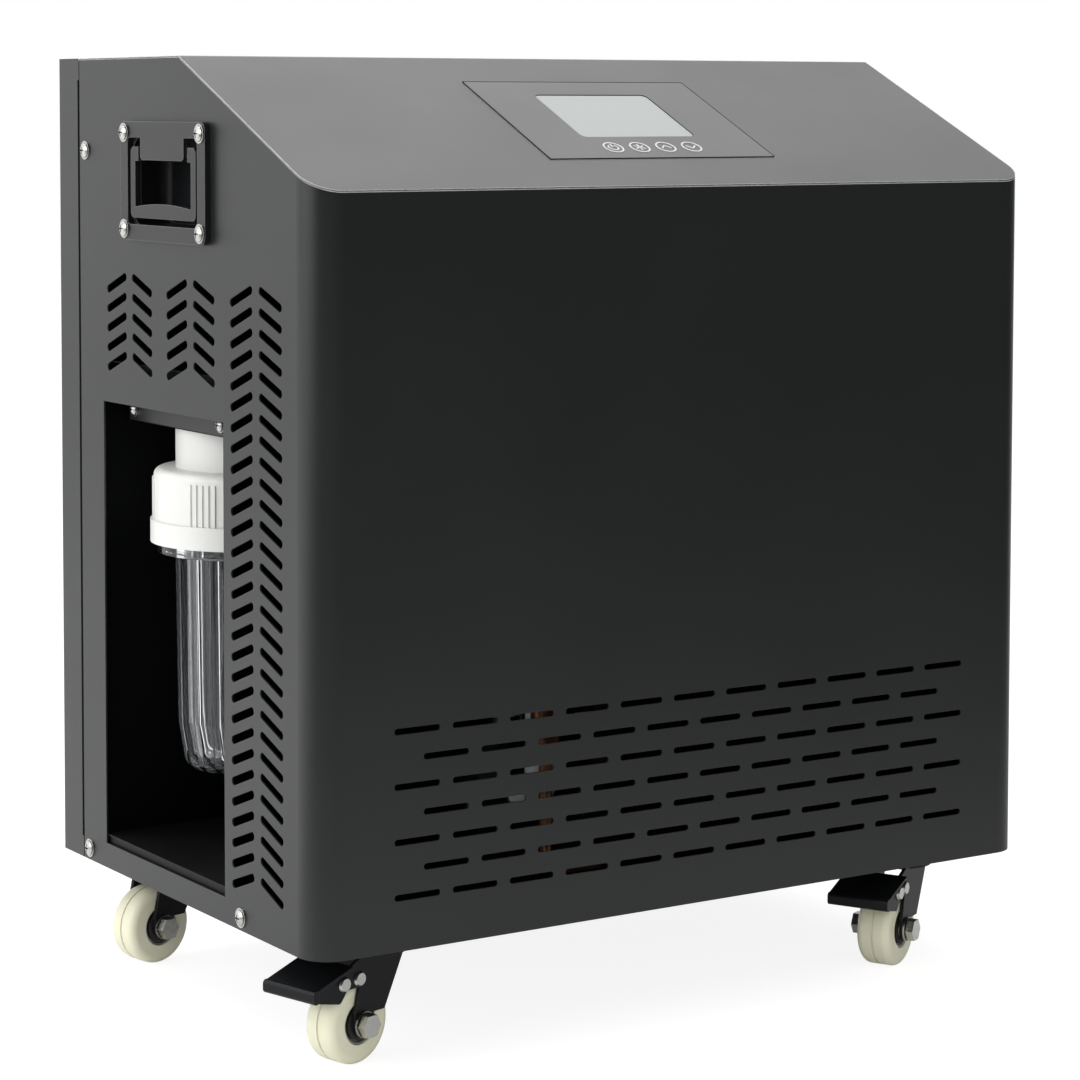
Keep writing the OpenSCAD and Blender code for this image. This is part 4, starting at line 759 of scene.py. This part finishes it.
@dataclass
class ControlFace:
    """The film panel on the slope, its display and its printed keys."""

    STROKE_SHARE: ClassVar[float] = 0.45
    ARC_STEPS: ClassVar[int] = 12
    RING_STEPS: ClassVar[int] = 40
    POWER_RADIUS: ClassVar[float] = 0.48
    POWER_ANGLES: ClassVar[tuple[float, float]] = (125, 415)
    FROST_RADIUS: ClassVar[float] = 0.58

    front: float = -0.183
    slope_foot: float = 0.521
    run: float = 0.168
    drop: float = 0.079
    key_down: float = 0.041
    key_pitch: float = 0.020
    key_radius: float = 0.007
    line: float = 0.0011
    proud: float = 0.0004
    ink: float = 0.00025
    film: float = 0.00005
    half: tuple[float, float] = (0.086, 0.056)
    trim: float = 0.0006

    def slope(self, x: float, up: float) -> Matrix:
        """Frame on the panel's face.

        Args:
            x: Across the panel.
            up: Up the slope from its middle.

        Returns:
            A matrix with Z out of the panel.
        """
        angle = math.atan2(self.drop, self.run)
        middle = math.hypot(self.drop, self.run) / 2
        foot = Matrix.Translation((0, self.front, self.slope_foot)) @ Matrix.Rotation(angle, 4, "X")
        return foot @ Matrix.Translation((x, middle + up, self.proud))

    def stroke(self, piece: MeshPiece, place: Matrix, a: Colour, b: Colour) -> None:
        """Adds one straight printed stroke.

        Args:
            piece: The mesh that it goes into.
            place: The key's frame.
            a: Start, in key radii.
            b: End, in key radii.
        """
        start = Vector((a[0], a[1])) * self.key_radius
        end = Vector((b[0], b[1])) * self.key_radius
        along = (end - start).normalized()
        side = Vector((-along.y, along.x)) * self.line * self.STROKE_SHARE
        corners = [start - side, end - side, end + side, start + side]
        piece.bar([(p.x, p.y) for p in corners], self.ink, place)

    def arc(self, piece: MeshPiece, place: Matrix, radius: float, first: float, last: float) -> None:
        """Adds a printed arc as short strokes.

        Args:
            piece: The mesh that it goes into.
            place: The key's frame.
            radius: In key radii.
            first: Start angle in degrees.
            last: End angle in degrees.
        """
        for i in range(self.ARC_STEPS):
            a = math.radians(first + (last - first) * i / self.ARC_STEPS)
            b = math.radians(first + (last - first) * (i + 1) / self.ARC_STEPS)
            self.stroke(
                piece,
                place,
                (radius * math.cos(a), radius * math.sin(a), 0),
                (radius * math.cos(b), radius * math.sin(b), 0),
            )

    def build(self, palette: Palette) -> bpy.types.Object:
        """Prints four ringed keys: power, frost, up and down.

        Args:
            palette: The finishes.

        Returns:
            The printed keys.
        """
        piece = MeshPiece("key_prints")
        signs: list[Callable[[Matrix], None]] = [
            lambda place: self.power_sign(piece, place),
            lambda place: self.frost_sign(piece, place),
            lambda place: self.arrow_sign(piece, place, 1),
            lambda place: self.arrow_sign(piece, place, -1),
        ]
        for i, sign in enumerate(signs):
            place = self.slope((i - 1.5) * self.key_pitch, -self.key_down)
            outer, inner = self.key_radius, self.key_radius - self.line
            ring = [(inner, 0), (outer, 0), (outer, self.ink), (inner, self.ink)]
            piece.lathe(ring, place, self.RING_STEPS)
            sign(place)
        made = piece.finish(palette.get("key_white"))
        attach(made, "root")
        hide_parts("touch_keys")
        return made

    def gap_shade_strip(self, palette: Palette) -> bpy.types.Object:
        """Lays a thin black strip round the panel's film: painted shade for the gap between panel and cover.

        Args:
            palette: The finishes.

        Returns:
            The printed line.
        """
        piece = MeshPiece("panel_gap_shade")
        place = self.slope(0, 0)
        w, h = self.half
        u, v = w - self.trim, h - self.trim
        for x0, y0, x1, y1 in ((-w, -h, -u, h), (u, -h, w, h), (-u, -h, u, -v), (-u, v, u, h)):
            piece.bar([(x0, y0), (x1, y0), (x1, y1), (x0, y1)], self.film, place)
        made = piece.finish(palette.get("gap_shade_black"))
        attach(made, "root")
        return made

    def power_sign(self, piece: MeshPiece, place: Matrix) -> None:
        """An open circle with a stroke at its top."""
        self.arc(piece, place, self.POWER_RADIUS, *self.POWER_ANGLES)
        self.stroke(piece, place, (0, 0.1, 0), (0, 0.68, 0))

    def frost_sign(self, piece: MeshPiece, place: Matrix) -> None:
        """Three crossing strokes."""
        for degrees in (30, 90, 150):
            across = math.cos(math.radians(degrees)) * self.FROST_RADIUS
            up = math.sin(math.radians(degrees)) * self.FROST_RADIUS
            self.stroke(piece, place, (-across, -up, 0), (across, up, 0))

    def arrow_sign(self, piece: MeshPiece, place: Matrix, way: int) -> None:
        """A chevron up or down."""
        self.stroke(piece, place, (-0.5, -0.22 * way, 0), (0, 0.3 * way, 0))
        self.stroke(piece, place, (0, 0.3 * way, 0), (0.5, -0.22 * way, 0))

    def dress(self, frame: dict[str, Any], palette: Palette) -> None:
        """Puts the finishes on the panel and its box."""
        palette.dress(frame, "control_panel", "panel_black")
        palette.dress(frame, "display_window", "display_grey")
        palette.dress(frame, "touch_keys", "key_white")
        palette.dress(frame, "control_box", "chassis_steel")


@dataclass
class CarryHandles:
    """Both folding handles with their plates and screws."""

    sides: tuple[str, str] = ("left", "right")

    def dress(self, frame: dict[str, Any], palette: Palette) -> None:
        """Puts the finishes on plates, bails and screws."""
        for side in self.sides:
            palette.dress(frame, f"handle_plate_{side}", "handle_black")
            palette.dress(frame, f"handle_bail_{side}", "handle_black")
        palette.dress(frame, "handle_screws", "zinc")


@dataclass
class FilterBay:
    """The bay behind the side window and the water filter in it."""

    finishes: dict[str, str] = field(
        default_factory=lambda: {
            "filter_bay_liner": "bay_shade_black",
            "filter_bay_floor": "chassis_steel",
            "filter_bracket": "bracket_steel",
            "bracket_screws": "zinc",
            "filter_head": "filter_white",
            "filter_bowl": "bowl_clear",
            "bowl_seal": "rubber_black",
        }
    )

    def dress(self, frame: dict[str, Any], palette: Palette) -> None:
        """Puts the finishes on the solids."""
        for node, name in self.finishes.items():
            palette.dress(frame, node, name)


@dataclass
class CoolingPlant:
    """The machinery inside and the fan on the back."""

    finishes: dict[str, str] = field(
        default_factory=lambda: {
            "compressor": "machine_black",
            "compressor_feet": "rubber_black",
            # The tubes take the fins' black in place of copper, as painted shade
            "condenser_fins": "condenser_shade_black",
            "condenser_tubes": "condenser_shade_black",
            "fan_ring": "chassis_steel",
            "fan_motor": "machine_black",
            "fan_blades": "fan_plastic",
            "fan_guard": "caster_black",
            "heat_exchanger": "foam_black",
            "pump_body": "machine_black",
            "pump_motor": "machine_black",
            "refrigerant_lines": "copper",
            "filter_drier": "copper",
            "inlet_pipe": "hose_white",
            "water_hoses": "hose_white",
            "electrics_box": "chassis_steel",
        }
    )

    def dress(self, frame: dict[str, Any], palette: Palette) -> None:
        """Puts the finishes on the solids."""
        for node, name in self.finishes.items():
            palette.dress(frame, node, name)


@dataclass
class CasterSet:
    """Four swivel casters, two with a brake pedal."""

    HUB_STEPS: ClassVar[int] = 64

    # Where each swivel axis stands, and its angle at rest in degrees
    turns: dict[str, tuple[float, float, float]] = field(
        default_factory=lambda: {
            "fl": (-0.205, -0.135, 16.0),
            "fr": (0.205, -0.135, 28.0),
            "rl": (-0.205, 0.125, 13.0),
            "rr": (0.205, 0.125, 20.0),
        }
    )
    trail: float = 0.021
    axle: float = 0.025
    half: float = 0.0115
    recess: float = 0.003

    def hub_piece(self, corner: str, kind: str, profile: list[tuple[float, float]]) -> MeshPiece:
        """A ring in each of a wheel's two faces.

        Args:
            corner: Which caster.
            kind: What the rings are called.
            profile: Radius and height over the recess floor, in millimetres.

        Returns:
            Both rings as one mesh.
        """
        x, y, degrees = self.turns[corner]
        angle = math.radians(degrees)
        centre = Vector((x - self.trail * math.cos(angle), y - self.trail * math.sin(angle), self.axle))
        piece = MeshPiece(f"{kind}_{corner}")
        ring = [(r * MM, self.half - self.recess + z * MM) for r, z in profile]
        for way in (-90, 90):
            turn = Matrix.Rotation(angle, 4, "Z") @ Matrix.Rotation(math.radians(way), 4, "X")
            piece.lathe(ring, Matrix.Translation(centre) @ turn, self.HUB_STEPS)
        return piece

    def build(self, palette: Palette) -> None:
        """Makes a bright ring and a black seal for each face of the wheels.

        Args:
            palette: The finishes.
        """
        bright = [(10.4, 0), (12.8, 0), (12.8, 1.9), (12.2, 2.3), (11.6, 2.1), (11.2, 1.0), (10.4, 0.7)]
        seal = [(6.35, 1.1), (10.2, 0.2), (10.3, 2.9), (9.7, 3.25), (6.9, 3.25), (6.35, 3.0)]
        for corner in self.turns:
            for kind, profile, finish, slot in (
                ("hub_rings", bright, "hub_ring", "zinc"),
                ("hub_seals", seal, "rubber_black", "rubber_black"),
            ):
                made = self.hub_piece(corner, kind, profile).finish(palette.get(finish), smooth=True)
                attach(made, f"wheel_{corner}")

    def dress(self, frame: dict[str, Any], palette: Palette) -> None:
        """Puts the finishes on plates, forks, axles, wheels and pedals."""
        palette.dress(frame, "caster_plates", "caster_black")
        palette.dress(frame, "caster_bolts", "zinc")
        for corner in self.turns:
            palette.dress(frame, f"caster_fork_{corner}", "caster_black")
            palette.dress(frame, f"caster_axle_{corner}", "zinc")
            palette.dress(frame, f"caster_wheel_{corner}", "nylon_ivory")
        for corner in ("fl", "fr"):
            palette.dress(frame, f"brake_pedal_{corner}", "caster_black")


@dataclass(frozen=True)
class Lamp:
    """One area light: where it stands, the point that it faces, its size and its power in watts."""

    name: str
    place: Colour
    aim: Colour
    size: tuple[float, float]
    power: float
    mirrored: bool = True

    def build(self) -> None:
        """Adds the light to the scene."""
        data = bpy.data.lights.new(self.name, "AREA")
        data.shape = "RECTANGLE"
        data.size, data.size_y = self.size
        data.energy = self.power
        made = bpy.data.objects.new(self.name, data)
        made.location = self.place
        made.visible_glossy = self.mirrored
        facing = Vector(self.aim) - Vector(self.place)
        made.rotation_euler = facing.to_track_quat("-Z", "Y").to_euler()
        bpy.context.scene.collection.objects.link(made)


@dataclass(frozen=True)
class Glow:
    """Sky light: a level, its gain along each axis, and its two limits."""

    level: float
    gains: tuple[float, float, float]
    low: float
    high: float

    def build(self, tree: ShaderTree, axes: tuple[Socket, ...]) -> Socket:
        """Makes a background of this light.

        Args:
            tree: The world's tree.
            axes: The three parts of the direction.

        Returns:
            The background's output.
        """
        total: Any = self.level
        for axis, gain in zip(axes, self.gains):
            total = total + axis * gain
        strength = tree.limit(total, self.low, self.high)
        return tree.node("ShaderNodeBackground", None, {"Color": WHITE, "Strength": strength})


@dataclass
class Studio:
    """Pale floor, soft light and the photograph's camera."""

    eye: Colour = (-1.1447, -1.7338, 0.5692)
    yaw: float = 0.556
    pitch: float = 0.061
    lens: float = 104.34
    sensor: float = 36.0
    shift: tuple[float, float] = (0.0866, -0.2249)
    far_clip: float = 50.0
    floor_size: float = 14.0
    floor_thick: float = 0.01
    floor_gap: float = 0.0002
    floor_glow: float = 0.86
    paper: float = 0.86
    shadow_paper: float = 0.3
    mirrored_paper: tuple[float, float] = (0.98, 0.07)
    fade: tuple[float, float] = (0.9, 0.25)
    front: tuple[float, float] = (0.6, 1.5)
    room: Glow = Glow(0.50, (-0.34, 0.10, 0.34), 0.10, 2.0)
    mirrored_room: Glow = Glow(-0.6, (0.0, 2.6, 0.4), 0.06, 1.32)
    lamps: tuple[Lamp, ...] = (
        Lamp("key_left", (-2.6, 0.1, 1.3), (0, 0, 0.35), (2.2, 1.8), 32),
        Lamp("top", (1.2, 1.2, 2.8), (0, 0, 0.5), (3.4, 2.2), 33),
        Lamp("rim", (-1.5, 1.2, 2.9), (-0.2, 0, 0.5), (0.8, 0.6), 14),
        Lamp("front_fill", (-1.2, -3.0, 0.9), (0, 0, 0.15), (1.8, 1.4), 20, mirrored=False),
    )

    def camera(self) -> bpy.types.Object:
        """Makes the camera.

        Returns:
            The scene's camera.
        """
        data = bpy.data.cameras.new("photo_camera")
        data.sensor_fit = "HORIZONTAL"
        data.sensor_width = self.sensor
        data.lens = self.lens
        data.shift_x, data.shift_y = self.shift
        data.clip_end = self.far_clip
        made = bpy.data.objects.new("photo_camera", data)
        made.location = self.eye
        made.rotation_euler = (math.pi / 2 - self.pitch, 0, -self.yaw)
        bpy.context.scene.collection.objects.link(made)
        bpy.context.scene.camera = made
        return made

    @staticmethod
    def ray_kinds(tree: ShaderTree) -> dict[str, Socket]:
        """Tells camera, glossy and transmission rays apart.

        Args:
            tree: The tree that the nodes go into.

        Returns:
            One output for each kind of ray.
        """
        return {kind: tree.node("ShaderNodeLightPath", output=f"Is {kind} Ray") for kind in RAYS}

    def mirrored_tone(self, tree: ShaderTree) -> Socket:
        """The floor as gloss shows it: darker far away, and most so in front.

        Args:
            tree: The floor's tree.

        Returns:
            Its colour.
        """
        gain, start = self.fade
        middle, slope = self.front
        far = tree.node("ShaderNodeVectorMath", {"operation": "LENGTH"}, {0: tree.place()}, output="Value")
        shade = tree.limit(far * gain - start) * tree.limit(middle - tree.axis("Y") * slope)
        near_grey, far_grey = self.mirrored_paper
        return tree.blend(shade, (near_grey,) * 3, (far_grey,) * 3)

    def floor(self) -> bpy.types.Object:
        """Makes the pale floor, white to the camera and to glass."""
        piece = MeshPiece("studio_floor")
        h = self.floor_size / 2
        below = -self.floor_thick - self.floor_gap
        corners = [(-h, -h), (h, -h), (h, h), (-h, h)]
        piece.bar(corners, self.floor_thick, Matrix.Translation((0, 0, below)))
        material = bpy.data.materials.new("studio_floor")
        tree = ShaderTree(material)
        paper = tree.node("ShaderNodeBsdfDiffuse", None, {"Color": (*(self.paper,) * 3, 1)})
        glow = tree.node("ShaderNodeEmission", None, {"Color": WHITE, "Strength": self.floor_glow})
        faint = tree.node("ShaderNodeBsdfDiffuse", None, {"Color": (*(self.shadow_paper,) * 3, 1)})
        both = tree.node("ShaderNodeAddShader", None, {0: faint, 1: glow})
        fading = tree.node("ShaderNodeBsdfDiffuse", None, {"Color": self.mirrored_tone(tree)})
        rays = self.ray_kinds(tree)
        seen = tree.limit(rays["Camera"] + rays["Transmission"])
        unseen = tree.node("ShaderNodeMixShader", None, {0: rays["Glossy"], 1: paper, 2: fading})
        mixed = tree.node("ShaderNodeMixShader", None, {0: seen, 1: unseen, 2: both})
        tree.node("ShaderNodeOutputMaterial", None, {"Surface": mixed})
        made = piece.finish(material)
        return made

    def world(self) -> None:
        """Lights the scene softly, brighter from the left and from above."""
        world = bpy.data.worlds.new("studio")
        bpy.context.scene.world = world
        tree = ShaderTree(world)
        way = tree.node("ShaderNodeTexCoord", output="Generated")
        axes = tuple(tree.node("ShaderNodeSeparateXYZ", None, {0: way}, output=name) for name in "XYZ")
        white = tree.node("ShaderNodeBackground", None, {"Color": WHITE, "Strength": 1.0})
        rays = self.ray_kinds(tree)
        lit = tree.node(
            "ShaderNodeMixShader",
            None,
            {0: rays["Glossy"], 1: self.room.build(tree, axes), 2: self.mirrored_room.build(tree, axes)},
        )
        shown = tree.limit(rays["Camera"] + rays["Transmission"])
        mixed = tree.node("ShaderNodeMixShader", None, {0: shown, 1: lit, 2: white})
        tree.node("ShaderNodeOutputWorld", None, {"Surface": mixed})

    def build(self) -> None:
        """Sets up floor, world, lamps and colour handling."""
        bpy.context.scene.view_settings.view_transform = "Standard"
        self.floor()
        self.world()
        for lamp in self.lamps:
            lamp.build()


def main() -> None:
    """Loads the solids, dresses them, adds the fine pieces and the studio."""
    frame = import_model()
    palette = Palette()
    studio = Studio()
    studio.camera()
    studio.build()
    controls = ControlFace()
    casters = CasterSet()
    for part in (CaseSheets(), controls, CarryHandles(), FilterBay(), CoolingPlant(), casters):
        part.dress(frame, palette)
        log.info("finished %s", type(part).__name__)
    controls.build(palette)
    controls.gap_shade_strip(palette)
    WaterPorts().build(palette)
    casters.build(palette)


if __name__ == "__main__":
    main()
